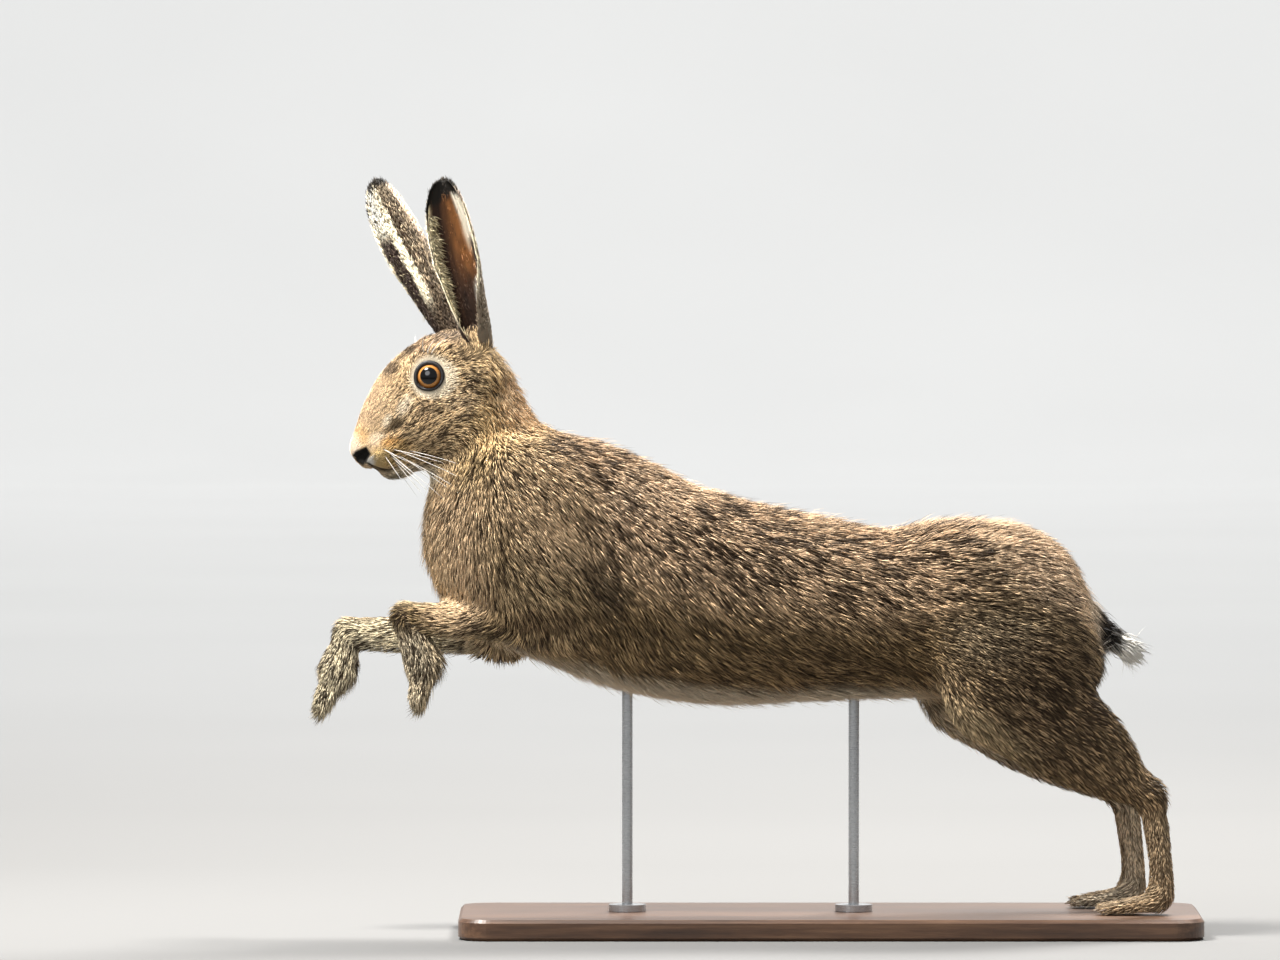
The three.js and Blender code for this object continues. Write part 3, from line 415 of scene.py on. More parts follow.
@dataclass(frozen=True)
class Ear:
    """One ear: a cup about a root and a tip, opening sideways, its edges wrapped close at the root."""

    side: int
    root: tuple
    tip: tuple
    opens: tuple
    breadth: float
    bow: float
    root_wrap: float = math.radians(155)
    mid_wrap: float = math.radians(84)
    tip_wrap: float = math.radians(64)
    root_radius: float = 10.5
    wall: float = 1.5

    @property
    def axes(self) -> tuple[Array, Array, Array, float]:
        """The directions along, towards the opening and across, and the ear's length."""
        along = np.array(self.tip, float) - self.root
        length = float(np.linalg.norm(along))
        along /= length
        opens = np.array(self.opens, float)
        opens = unit(opens - (opens @ along) * along)
        return along, opens, np.cross(along, opens), length

    def surface(self, u: Array, v: Array, out: Number) -> Array:
        """Points of the cup.

        Args:
            u: from 0 at the root to 1 at the tip.
            v: from -1 to 1 across, edge to edge.
            out: distance from the cup's middle sheet, positive towards the ear's back.
        Returns:
            (..., 3). The sheet is an arc of radius bend = half breadth / wrap about a centre that runs along
            the ear, bowed a little; the half breadth grows to the middle and closes to a round tip.
        """
        along, opens, across, length = self.axes
        wrap = np.where(u < 0.45, lerp(self.root_wrap, self.mid_wrap, (np.clip(u, 0, 0.45) / 0.45) ** 0.85),
                        lerp(self.mid_wrap, self.tip_wrap, (u - 0.45) / 0.55))
        fall = np.clip((u - 0.4) / 0.6, 0, 1)
        half = lerp(self.root_radius * self.root_wrap, self.breadth, np.minimum(u / 0.35, 1))
        half = half * np.sqrt(1 - 0.985 * fall ** 2.4)
        bend = half / wrap * np.sqrt(np.clip(1 + np.minimum(u, 0) / 0.18, 0.04, 1))
        lift = bend - self.bow * np.sin(math.pi * u) - 9 * (1 - u) ** 2
        radius = bend + out
        steps = ((along, u * length), (opens, lift), (across, radius * np.sin(v * wrap)),
                 (-opens, radius * np.cos(v * wrap)))
        return sum((way * size[..., None] for way, size in steps), np.array(self.root))

    def from_root(self, points: Array) -> tuple[Array, Array]:
        """How far points are along the ear's line from its root, and how far off that line."""
        along = self.axes[0]
        off = points - np.array(self.root)
        rise = off @ along
        return rise, np.linalg.norm(off - rise[:, None] * along, axis=1)


EARS = {"left": Ear(-1, (-264, -17, 450), (-289.5, -19, 565), (-0.42, -0.9, 0.1), 26, 3.5),
        "right": Ear(1, (-283, 9, 452), (-341, 17, 564), (-0.45, 0.88, 0.1), 25, 3.0)}


class Kind(Enum):
    """The parts of the coat, each with hair of its own depth, length, width and spacing in millimetres."""

    TRUNK = (7.5, 17.0, 0.92, 1.55)
    NECK = (6.0, 13.0, 0.76, 1.45)
    HEAD = (2.2, 6.0, 0.64, 0.95)
    MUZZLE = (0.8, 3.2, 0.55, 0.85)
    SHOULDER = (5.5, 14.0, 0.87, 1.45)
    FORELEG = (2.0, 8.5, 0.9, 1.35)
    FOREPAW = (1.5, 6.0, 0.85, 1.15)
    THIGH = (5.5, 13.0, 0.87, 1.45)
    SHANK = (2.6, 10.0, 1.1, 2.0)
    HINDFOOT = (1.7, 6.5, 1.0, 1.6)
    TAIL = (3.2, 22.0, 1.6, 0.85)


KINDS = list(Kind)
LAWS = np.array([k.value for k in KINDS])

# How steeply the coat of the neck, the body and the haunch runs down as it runs back: x, then degrees
BODY_LIE = [(-290, 90), (-266, 82), (-240, 62), (-205, 50), (-100, 46), (-40, 41), (10, 33), (60, 24),
            (100, 14), (140, 8), (190, 22)]


@dataclass
class Place:
    """What is known about points on the hare: the mix of kinds, the lie, and the place on the unwrap."""

    mix: Array
    lie: Array
    chain: Array
    along: Array
    angle: Array
    rise: Array

    def law(self, column: int) -> Array:
        """The depth, length, width or spacing of the hair, mixed over the kinds."""
        return self.mix @ LAWS[:, column]

    def kind(self, *kinds: Kind) -> Array:
        """How much a point belongs to these kinds together."""
        return sum(self.mix[:, KINDS.index(k)] for k in kinds)


class Flesh:
    """The hare's body as one form, and the chains that tell where on it a point is.

    FILLETS are the sizes of the fillets by which its parts melt together. The skull is worked out only where
    x is under SKULL_BEHIND and z over SKULL_BELOW. On BROAD kinds the hair lies as the whole body says.
    """

    FILLETS = {"trunk": 26, "skull": 8, "forefoot": 6, "hindfoot": 7, "upper": 20, "tail": 12, "lower": 9,
               "head": 12, "ears": 9}
    SKULL_BEHIND, SKULL_BELOW = -215, 300
    BROAD = (Kind.TRUNK, Kind.NECK, Kind.SHOULDER, Kind.THIGH)

    def __init__(self) -> None:
        """Builds the forms from the stations."""
        fore = {s: fore_leg(s) for s in SIDES}
        hind = {s: hind_leg(s) for s in SIDES}
        self.trunk = melt_all([
            Tube(TRUNK), Tube(NECK),
            Lump((-214, 0, 332), (44, 34, 28), -22), Lump((-222, 34, 318), (38, 19, 46), 12, True),
            Lump((118, 24, 262), (60, 26, 42), -14, True), Lump((168, 30, 204), (35, 18, 36), 0, True),
            Lump((-110, 0, 204), (70, 40, 22), -4), Lump((-254, 0, 270), (33, 30, 24), 40),
        ], self.FILLETS["trunk"])
        skull = melt_all([
            Tube(HEAD), Tube(JAW),
            Lump((-301, 12, 416), (17, 10.5, 15), 30, True), Lump((-292, 13, 388), (25, 14, 24), 35, True),
            Lump((-342, 7.5, 360), (13, 9, 10.5), 30, True), Lump((-349, 0, 365), (8, 8, 8)),
            Lump((-326, 0, 349), (10, 8, 7.5)), Lump((-288, 0, 434), (20, 18, 14), -20),
        ], self.FILLETS["skull"])
        self.head = lambda points: self._near_head(skull, points)
        self.ears = nearest([Tube(self._stub(ear)) for ear in EARS.values()])
        self.upper = nearest([Tube(leg[s][part]) for leg, part in ((fore, "upper"), (hind, "thigh"))
                              for s in SIDES])
        fore_limbs = [melt_all([Tube(fore[s]["lower"]), Tube(fore[s]["paw"]),
                                nearest([Tube(t) for t in fore_toes(s)])], self.FILLETS["forefoot"])
                      for s in SIDES]
        hind_limbs = [melt_all([Tube(hind[s]["shank"]), Tube(hind[s]["foot"]),
                                nearest([Tube(t) for t in hind_toes(s)])], self.FILLETS["hindfoot"])
                      for s in SIDES]
        self.lower = nearest(fore_limbs + hind_limbs)
        self.tail = Tube(TAIL_ROOT)
        self.chains = self._chains(fore, hind)

    @classmethod
    def _near_head(cls, skull: Form, points: Array) -> Array:
        """The turned skull's distance, worked out only for points near the head."""
        result = np.full(len(points), REACH)
        near = (points[:, 0] < cls.SKULL_BEHIND) & (points[:, 2] > cls.SKULL_BELOW)
        if near.any():
            result[near] = skull(straightened(points[near]))
        return result

    @staticmethod
    def _stub(ear: Ear) -> list[tuple]:
        """The stations of the flesh that an ear's root grows from."""
        up = np.array(ear.tip, float) - ear.root
        rings = ((-0.24, 14), (-0.10, 12.5), (-0.01, 10))
        return [(*(np.array(ear.root) + up * t), radius * 1.1, radius) for t, radius in rings]

    @staticmethod
    def _chains(fore: dict, hind: dict) -> list[tuple[Tube, Kind, Optional[Kind]]]:
        """The limbs and the spine as tubes from end to end, with the kind that each starts and ends with."""
        chains = [(Tube(line), kind, None)
                  for line, kind in ((TRUNK, Kind.TRUNK), (NECK, Kind.NECK), (HEAD, Kind.HEAD))]
        for s in SIDES:
            toe = FORE_JOINTS[s][3]
            chains.append((Tube(fore[s]["upper"]), Kind.SHOULDER, None))
            tip = (toe[0], s * FORE_OUT, toe[1], 8, 11)
            chains.append((Tube(fore[s]["lower"] + fore[s]["paw"][1:] + [tip]), Kind.FORELEG, Kind.FOREPAW))
            end = (205 + HIND_SHIFT[s], s * HIND_OUT, 22, 6, 12)
            chains.append((Tube(hind[s]["thigh"]), Kind.THIGH, None))
            chains.append((Tube(hind[s]["shank"] + hind[s]["foot"][1:] + [end]), Kind.SHANK, Kind.HINDFOOT))
        chains.append((Tube(TAIL_ROOT[1:]), Kind.TAIL, None))
        return chains

    def __call__(self, points: Array) -> Array:
        """Distance to the outline of the coat, the same as the solids' own."""
        d = self.trunk(points)
        for name in ("upper", "tail", "lower", "head", "ears"):
            d = melt(d, getattr(self, name)(points), self.FILLETS[name])
        return np.maximum(d, GROUND - points[:, 2])

    def normals(self, points: Array, step: float = 0.25) -> Array:
        """The outward directions: the distance's slope by small steps along each axis."""
        slope = [self(points + step * axis) - self(points - step * axis) for axis in np.eye(3)]
        return unit(np.stack(slope, axis=1))

    def place(self, points: Array, normals: Array) -> Place:
        """Where points are on the hare.

        Args:
            points: (N, 3) on the outline.
            normals: the outward directions there.
        Returns:
            The kinds weighed by how near their chains are, the way the hair lies, made tangent to the
            outline, and the nearest chain with the place along it and the angle round it.
        """
        found = [chain.locate(straightened(points) if kind is Kind.HEAD else points)
                 for chain, kind, _ in self.chains]
        distance = np.stack([f[0] for f in found])
        distance[2] += smooth(-264, -238, points[:, 0]) * 50 - 10
        weight = np.exp(-(distance - distance.min(axis=0)) / 5.0)
        weight /= weight.sum(axis=0)
        mix = np.zeros((len(points), len(KINDS)))
        lie = np.zeros_like(points)
        straight = straightened(points)
        body = self._body_lie(points)
        for (chain, first, last), (_, along, heading, _), w in zip(self.chains, found, weight):
            far = np.zeros(len(points))
            if last is not None:
                far = smooth(0.5, 0.66, along)
                mix[:, KINDS.index(last)] += w * far
            elif first is Kind.HEAD:
                far = smooth(-322, -338, straight[:, 0])
                mix[:, KINDS.index(Kind.MUZZLE)] += w * far
                heading = turned(heading)
            mix[:, KINDS.index(first)] += w * (1 - far)
            lie += (body if first in self.BROAD else heading) * w[:, None]
        lie = self._about_ears(points, self._about_eyes(points, unit(lie)))
        head = smooth(-225, -262, points[:, 0]) * smooth(318, 345, points[:, 2])
        swirl = (noise(points, 38, 3) * 0.20 + noise(points, 15, 4) * 0.16) * (1 - 0.6 * head)
        swirl += noise(points, 6, 5) * (0.12 + 0.14 * head)
        lie = lie + np.cross(normals, lie) * swirl[:, None]
        lie = unit(flattened(lie, normals))
        chain = weight.argmax(axis=0)
        rows = np.arange(len(points))
        offset = np.stack([f[3] for f in found])[chain, rows]
        heading = np.stack([f[2] for f in found])[chain, rows]
        flat = offset[:, 2] * heading[:, 0] - offset[:, 0] * heading[:, 2]
        along = np.stack([f[1] for f in found])[chain, rows]
        _, spine, _, away = found[0]
        depth = np.interp(spine, np.linspace(0, 1, len(TRUNK)), [station[3] for station in TRUNK])
        return Place(mix, lie, chain, along, np.arctan2(offset[:, 1], flat), away[:, 2] / depth)

    @staticmethod
    def _body_lie(points: Array) -> Array:
        """The lie on neck, body and haunch: back, and down by an angle that changes along the hare."""
        places, degrees = zip(*BODY_LIE)
        steep = np.interp(points[:, 0], places, degrees)
        steep += 34 * smooth(235, 150, points[:, 2]) * smooth(60, 120, points[:, 0])
        steep -= 22 * smooth(230, 190, points[:, 2]) * smooth(60, 0, points[:, 0])
        angle = np.radians(steep)
        return np.stack([np.cos(angle), np.zeros(len(points)), -np.sin(angle)], axis=1)

    @staticmethod
    def _about_eyes(points: Array, lie: Array) -> Array:
        """The lie parted round the eyes: what runs towards an eye is turned to run a little away from it."""
        for side in SIDES:
            centre, gaze = eye_axes(side)
            off = points - centre
            off = off - (off @ gaze)[:, None] * gaze
            reach = np.linalg.norm(off, axis=1)
            spoke = off / np.maximum(reach, 1e-6)[:, None]
            near = smooth(*PARTED_ROUND_EYE, reach) * (points[:, 1] * side > 0)
            inward = np.minimum((lie * spoke).sum(axis=1), 0) - 0.35
            lie = unit(lie - spoke * (inward * near)[:, None])
        return lie

    @staticmethod
    def _about_ears(points: Array, lie: Array) -> Array:
        """The lie turned up along each ear about its root."""
        for ear in EARS.values():
            rise, reach = ear.from_root(points)
            near = smooth(*RAISED_ROUND_EAR, reach) * smooth(-20, -6, rise)
            lie = unit(blend(lie, ear.axes[0], near))
        return lie


class Net:
    """Meshes a form over a grid of uneven steps: one point in each cell that the surface crosses.

    The form is worked out only in the blocks of BLOCK steps a side that may reach the surface: those whose
    middle is nearer to it than half the block times MARGIN, plus SPARE millimetres. The rest are FAR.
    """

    BLOCK = 4
    FAR, MARGIN, SPARE = 99.0, 1.3, 2.0

    def __init__(self, form: Form, axes: Sequence[Array]) -> None:
        """Takes the form and the grid's coordinates along X, Y and Z."""
        self.form, self.axes = form, [self._even(a) for a in axes]
        self.value = self._band()

    def _even(self, axis: Array) -> Array:
        """The same coordinates, with as many added as make whole blocks."""
        extra = (-len(axis)) % self.BLOCK
        return np.append(axis, axis[-1] + (np.arange(extra) + 1) * (axis[-1] - axis[-2]))

    def _band(self) -> Array:
        """The form's value at grid points near the surface, and a far value of the right sign elsewhere."""
        b = self.BLOCK
        centres = [a.reshape(-1, b)[:, [0, -1]].mean(axis=1) for a in self.axes]
        halves = [np.ptp(a.reshape(-1, b), axis=1) / 2 * (b / (b - 1)) for a in self.axes]
        mesh = np.stack(np.meshgrid(*centres, indexing="ij"), axis=-1)
        half = np.sqrt(sum(h ** 2 for h in np.meshgrid(*halves, indexing="ij")))
        coarse = self.form(mesh.reshape(-1, 3)).reshape(mesh.shape[:3])
        value = np.sign(coarse) * self.FAR
        for k in range(3):
            value = np.repeat(value, b, axis=k)
        kept = np.argwhere(np.abs(coarse) < half * self.MARGIN + self.SPARE)
        steps = np.array(list(product(range(b), repeat=3)))
        index = (kept[:, None, :] * b + steps[None]).reshape(-1, 3)
        points = np.stack([a[index[:, k]] for k, a in enumerate(self.axes)], axis=1)
        value[index[:, 0], index[:, 1], index[:, 2]] = self.form(points)
        return value

    def mesh(self) -> tuple[Array, Array]:
        """The points and the four-sided faces, facing outwards."""
        v = self.value
        n = np.array(v.shape) - 1
        corner = {c: v[tuple(slice(start, start + size) for start, size in zip(c, n))]
                  for c in product((0, 1), repeat=3)}
        inside = sum((c < 0).astype(np.uint8) for c in corner.values())
        cells = np.argwhere((inside > 0) & (inside < 8))
        number = np.full(inside.shape, -1, np.int64)
        number[tuple(cells.T)] = np.arange(len(cells))
        total, count = np.zeros((len(cells), 3)), np.zeros(len(cells))
        for a, b in ((a, b) for a in corner for b in corner if a < b and sum(np.abs(np.subtract(a, b))) == 1):
            va, vb = corner[a][tuple(cells.T)], corner[b][tuple(cells.T)]
            cross = (va < 0) != (vb < 0)
            t = np.where(cross, va / np.where(cross, va - vb, 1.0), 0.0)
            spot = np.array(a) + (np.array(b) - a) * t[:, None]
            total += spot * cross[:, None]
            count += cross
        part = total / count[:, None]
        points = np.stack([axis[cells[:, k]] + part[:, k] * np.diff(axis)[cells[:, k]]
                           for k, axis in enumerate(self.axes)], axis=1)
        faces = [self._faces(number, axis) for axis in range(3)]
        return points, np.vstack(faces)

    def _faces(self, number: Array, axis: int) -> Array:
        """The faces round the grid edges along one axis that the surface crosses."""
        v = self.value
        first = np.moveaxis(v, axis, 0)
        low, high = first[:-1] < 0, first[1:] < 0
        cells = np.moveaxis(number, axis, 0)
        where = np.argwhere(low != high)
        where = where[(where[:, 1] > 0) & (where[:, 2] > 0) & (where[:, 1] < cells.shape[1])
                      & (where[:, 2] < cells.shape[2])]
        i, j, k = where.T
        quad = np.stack([cells[i, j - 1, k - 1], cells[i, j, k - 1], cells[i, j, k], cells[i, j - 1, k]],
                        axis=1)
        flip = low[i, j, k] ^ (axis == 1)
        return np.where(flip[:, None], quad, quad[:, ::-1])


def draw_onto(form: Form, points: Array, turns: int, most: float) -> Array:
    """Moves points onto the form's surface along its slope, at most that far each turn."""
    step = 0.25
    for _ in range(turns):
        d = form(points)
        slope = np.stack([(form(points + step * axis) - d) / step for axis in np.eye(3)], axis=1)
        steep = np.maximum((slope ** 2).sum(axis=1), 0.2)
        points = points - np.clip(slope * (d / steep)[:, None], -most, most)
    return points


def make_mesh(name: str, points: Array, faces: Array, material: bpy.types.Material,
              attributes: Optional[dict] = None, flat: Optional[tuple] = None) -> bpy.types.Object:
    """Makes a Blender object from whole arrays.

    Args:
        name: the piece's name.
        points: (N, 3) in millimetres.
        faces: (M, 3) or (M, 4) indices, outwards.
        material: the piece's finish.
        attributes: named per-point values, (N,) numbers or (N, 3) colours.
        flat: the OFBake unwrap, one (u, v) for each point.
    Returns:
        The object, at the origin.
    """
    mesh = bpy.data.meshes.new(name)
    sides = faces.shape[1]
    mesh.vertices.add(len(points))
    mesh.vertices.foreach_set("co", (points * MM).astype(np.float32).ravel())
    mesh.loops.add(faces.size)
    mesh.loops.foreach_set("vertex_index", faces.astype(np.int32).ravel())
    mesh.polygons.add(len(faces))
    mesh.polygons.foreach_set("loop_start", np.arange(0, faces.size, sides, dtype=np.int32))
    mesh.polygons.foreach_set("use_smooth", np.ones(len(faces), dtype=bool))
    for key, values in (attributes or {}).items():
        if values.ndim == 2:
            rgba = np.ones((len(points), 4), np.float32)
            rgba[:, :3] = values
            mesh.color_attributes.new(key, "FLOAT_COLOR", "POINT").data.foreach_set("color", rgba.ravel())
        else:
            mesh.attributes.new(key, "FLOAT", "POINT").data.foreach_set("value", values.astype(np.float32))
    if flat is not None:
        uv = np.stack(flat, axis=1)[faces.ravel()].astype(np.float32)
        mesh.uv_layers.new(name="OFBake").data.foreach_set("uv", uv.ravel())
    mesh.update(calc_edges=True)
    mesh.materials.append(material)
    obj = bpy.data.objects.new(name, mesh)
    bpy.context.collection.objects.link(obj)
    return obj


def report(obj: bpy.types.Object, slot: str, nodes: Sequence[str] = ()) -> bpy.types.Object:
    """Rides the piece on the body, hides the solids that it stands for, and logs it with its slot."""
    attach(obj, "root")
    if nodes:
        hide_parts(*nodes)
    LOG.info("%s: %d faces, %s", obj.name, len(obj.data.polygons), slot)
    return obj


# Shaders
class Value:
    """A number worked out by a shader. Arithmetic on it adds Math nodes."""

    def __init__(self, finish: "Finish", socket: bpy.types.NodeSocket) -> None:
        """Wraps an output socket."""
        self.finish, self.socket = finish, socket

    def _math(self, operation: str, a: object, b: object) -> "Value":
        """One Math node."""
        return self.finish.node("ShaderNodeMath", {"operation": operation}, {0: a, 1: b})

    def __add__(self, other: object) -> "Value":
        """self + other."""
        return self._math("ADD", self, other)

    def __sub__(self, other: object) -> "Value":
        """self - other."""
        return self._math("SUBTRACT", self, other)

    def __rsub__(self, other: object) -> "Value":
        """other - self."""
        return self._math("SUBTRACT", other, self)

    def __mul__(self, other: object) -> "Value":
        """self * other."""
        return self._math("MULTIPLY", self, other)

    def __truediv__(self, other: object) -> "Value":
        """self / other."""
        return self._math("DIVIDE", self, other)

    __radd__ = __add__
    __rmul__ = __mul__

    def clamped(self) -> "Value":
        """Between 0 and 1."""
        return self._math("MAXIMUM", self._math("MINIMUM", self, 1.0), 0.0)


class Finish:
    """A material under a name, with its shader built from nodes."""

    def __init__(self, name: str, **constants: object) -> None:
        """Makes the material and sets what is the same all over on the shader's own sockets."""
        self.material = bpy.data.materials.new(name)
        self.material.use_nodes = True
        self.tree = self.material.node_tree
        self.shader = self.tree.nodes["Principled BSDF"]
        for key, value in constants.items():
            self.shader.inputs[key.replace("_", " ")].default_value = value

    def node(self, kind: str, settings: Optional[dict] = None, inputs: Optional[dict] = None,
             output: Union[int, str] = 0) -> Value:
        """Adds a node.

        Args:
            kind: the node's type.
            settings: its own settings, which are set first; "stops" are a ramp's (place, colour) pairs.
            inputs: values or links for its sockets, by index or name.
            output: the socket that is returned.
        Returns:
            That socket as a Value.
        """
        made = self.tree.nodes.new(kind)
        settings = dict(settings or {})
        stops = settings.pop("stops", None)
        for key, value in settings.items():
            setattr(made, key, value)
        if stops:
            ramp = made.color_ramp
            while len(ramp.elements) < len(stops):
                ramp.elements.new(0.5)
            for element, (place, colour) in zip(ramp.elements, stops):
                element.position, element.color = place, (*colour, 1.0)
        for key, value in (inputs or {}).items():
            self.join(made.inputs[key], value)
        return Value(self, made.outputs[output])

    def join(self, socket: bpy.types.NodeSocket, value: object) -> None:
        """Links a Value to a socket, or sets the socket to a plain value."""
        if isinstance(value, Value):
            self.tree.links.new(value.socket, socket)
        elif isinstance(value, tuple) and len(value) == 3 and len(getattr(socket, "default_value", ())) == 4:
            socket.default_value = (*value, 1.0)
        else:
            socket.default_value = value

    def feed(self, **links: Value) -> None:
        """Links values to the shader's sockets, such as Base_Color and Roughness."""
        for key, value in links.items():
            self.join(self.shader.inputs[key.replace("_", " ")], value)

    def place(self) -> Value:
        """Object coordinates, in metres."""
        return self.node("ShaderNodeTexCoord", output="Object")

    def attribute(self, name: str, output: str = "Color") -> Value:
        """A named attribute of the mesh: its colour, or its number with output Fac."""
        return self.node("ShaderNodeAttribute", {"attribute_name": name}, output=output)

    def noise(self, where: Value, scale: float, detail: float = 3.0, rough: float = 0.5) -> Value:
        """Noise from 0 to 1, with scale lumps to a metre."""
        return self.node("ShaderNodeTexNoise", None,
                         {"Vector": where, "Scale": scale, "Detail": detail, "Roughness": rough}, "Fac")

    def stretched(self, scale: Colour) -> Value:
        """Object coordinates scaled along the axes."""
        return self.node("ShaderNodeMapping", None, {"Vector": self.place(), "Scale": scale})

    def mix(self, amount: object, low: object, high: object, how: str = "MIX") -> Value:
        """Two colours mixed by amount."""
        return self.node("ShaderNodeMix", {"data_type": "RGBA", "blend_type": how},
                         {0: amount, 6: low, 7: high}, 2)

    def ramp(self, amount: Value, *stops: tuple) -> Value:
        """A colour for each amount, from (place, colour) stops."""
        return self.node("ShaderNodeValToRGB", {"stops": stops}, {0: amount})

    def tone(self, colour: object, bright: object) -> Value:
        """A colour made lighter or darker by a number."""
        return self.node("ShaderNodeVectorMath", {"operation": "SCALE"}, {0: colour, "Scale": bright})

    def bump(self, height: Value, distance: float, strength: float = 1.0) -> Value:
        """A bumped normal: distance is in metres."""
        return self.node("ShaderNodeBump", None,
                         {"Height": height, "Distance": distance, "Strength": strength})


def coat_finish() -> bpy.types.Material:
    """Hair: the tuft's own colour, varied a little from strand to strand."""
    f = Finish("hare_coat", Specular_IOR_Level=0.16)
    grain = f.noise(f.place(), 1100, 2.0)
    f.feed(Base_Color=f.tone(f.attribute("coat"), grain * 0.6 + 0.7), Roughness=grain * 0.25 + 0.45)
    return f.material


def skin_finish() -> bpy.types.Material:
    """The skin and the close underfur: the same markings, darker, with fine pores and hair roots."""
    f = Finish("hare_skin", Specular_IOR_Level=0.12)
    grain = f.noise(f.place(), 1400, 4.0, 0.65)
    f.feed(Base_Color=f.tone(f.attribute("coat"), grain * 1.1 + 0.35), Roughness=grain * 0.2 + 0.6,
           Normal=f.bump(grain, 0.0006, 0.8))
    return f.material


def ear_finish() -> bpy.types.Material:
    """The ear's cup: thin warm skin with branching veins inside and close fur outside."""
    f = Finish("hare_ear_skin", Subsurface_Weight=0.08, Subsurface_Scale=0.002, Specular_IOR_Level=0.2)
    veins = f.node("ShaderNodeTexVoronoi", {"feature": "DISTANCE_TO_EDGE"},
                   {"Vector": f.stretched((1.0, 1.0, 0.3)), "Scale": 160.0, "Randomness": 1.0}, "Distance")
    grain = f.noise(f.place(), 1600, 4.0, 0.6)
    line = (veins * 9.0).clamped()
    f.feed(Base_Color=f.tone(f.attribute("coat"), (line * 0.12 + 0.88) * (grain * 0.5 + 0.75)),
           Roughness=grain * 0.25 + 0.5, Normal=f.bump(grain + line * 0.4, 0.0004, 0.6))
    return f.material


def eye_finish() -> bpy.types.Material:
    """The eye: a wide pupil, an amber iris with fine rays, a dark rim, all under a wet clear coat."""
    f = Finish("hare_eye", Coat_Weight=0.7, Coat_Roughness=0.02, Specular_IOR_Level=0.1)
    ring, turn = f.attribute("ring", "Fac"), f.attribute("turn", "Fac")
    spoke = f.node("ShaderNodeCombineXYZ", None, {0: turn * 60.0, 1: ring * 3.0})
    rays = f.noise(spoke, 1.0, 4.0, 0.7)
    iris = f.mix(rays, (0.08, 0.028, 0.005), (0.72, 0.32, 0.08))
    pupil, edge = (0.001, 0.001, 0.002), (0.006, 0.004, 0.003)
    shade = f.ramp(ring, (0.0, pupil), (0.475, pupil), (0.51, (0.8, 0.85, 0.9)), (0.60, (1.0, 1.0, 1.0)),
                   (0.74, (0.62, 0.5, 0.42)), (0.83, (0.10, 0.06, 0.05)), (1.0, edge))
    f.feed(Base_Color=f.mix(1.0, iris, shade, "MULTIPLY"), Roughness=rays * 0.1 + 0.12)
    return f.material


def lid_finish() -> bpy.types.Material:
    """Dark, damp, finely creased skin of the lids."""
    f = Finish("hare_lid_skin", Specular_IOR_Level=0.35)
    grain = f.noise(f.place(), 2600, 4.0, 0.6)
    f.feed(Base_Color=f.ramp(grain, (0.3, (0.003, 0.0025, 0.0025)), (0.75, (0.014, 0.011, 0.010))),
           Roughness=grain * 0.3 + 0.2, Normal=f.bump(grain, 0.0004, 0.7))
    return f.material


def claw_finish() -> bpy.types.Material:
    """Horn: dark brown at the root, paler at the tip, with fine growth lines."""
    f = Finish("hare_claw_horn", Specular_IOR_Level=0.5)
    along = f.attribute("along", "Fac")
    lines = f.noise(f.stretched((3.0, 3.0, 1.0)), 1800, 3.0)
    f.feed(Base_Color=f.tone(f.mix(along, (0.05, 0.032, 0.02), (0.26, 0.19, 0.13)), lines * 0.6 + 0.7),
           Roughness=lines * 0.2 + 0.25, Normal=f.bump(lines, 0.0002, 0.5))
    return f.material


def whisker_finish() -> bpy.types.Material:
    """A whisker: stiff white hair, darker at its root."""
    f = Finish("hare_whisker", Specular_IOR_Level=0.5)
    along = f.attribute("along", "Fac")
    gloss = f.noise(f.place(), 700, 2.0)
    colour = f.ramp(along, (0.0, (0.12, 0.09, 0.07)), (0.15, (0.7, 0.66, 0.6)), (1.0, (0.9, 0.88, 0.84)))
    f.feed(Base_Color=colour, Roughness=gloss * 0.2 + 0.3)
    return f.material


def wood_finish() -> bpy.types.Material:
    """The board: dark stained wood, its grain running lengthwise, under a satin varnish."""
    f = Finish("stand_stained_wood", Coat_Weight=0.25, Coat_Roughness=0.25, Specular_IOR_Level=0.4)
    bend = f.noise(f.stretched((1.2, 6.0, 6.0)), 3.0, 2.0)
    grain = f.noise(f.stretched((1.5, 26.0, 26.0)), 9.0, 6.0, 0.65)
    pores = f.noise(f.stretched((8.0, 160.0, 160.0)), 12.0, 2.0)
    figure = (grain * 0.75 + bend * 0.35).clamped()
    colour = f.ramp(figure, (0.30, (0.028, 0.014, 0.008)), (0.52, (0.075, 0.036, 0.018)),
                    (0.75, (0.15, 0.078, 0.04)))
    f.feed(Base_Color=f.tone(colour, pores * 0.5 + 0.72), Roughness=grain * 0.2 + 0.32,
           Normal=f.bump(grain + pores * 0.5, 0.0003, 0.35))
    return f.material


def steel_finish() -> bpy.types.Material:
    """The rods: brushed steel, its scratches running round."""
    f = Finish("stand_brushed_steel", Metallic=1.0)
    brushed = f.noise(f.stretched((1.0, 1.0, 60.0)), 60.0, 3.0)
    cloud = f.noise(f.place(), 30.0, 3.0)
    f.feed(Base_Color=f.mix(cloud, (0.42, 0.43, 0.44), (0.56, 0.57, 0.58)), Roughness=brushed * 0.16 + 0.2,
           Normal=f.bump(brushed, 0.00008, 0.4))
    return f.material


# The floor's reach in metres, and the paper's tone over it: y as a share of that reach, then how much light
# the paper reflects there, so that it looks even far back
STAGE_REACH = 12.0
PAPER = ((0.0, 0.158), (0.0625, 0.150), (0.125, 0.162), (0.208, 0.200), (0.292, 0.232), (0.375, 0.265),
         (0.458, 0.312), (0.542, 0.378), (0.625, 0.462), (0.708, 0.562), (0.79, 0.67), (0.83, 0.635),
         (0.90, 0.595), (0.95, 0.585))


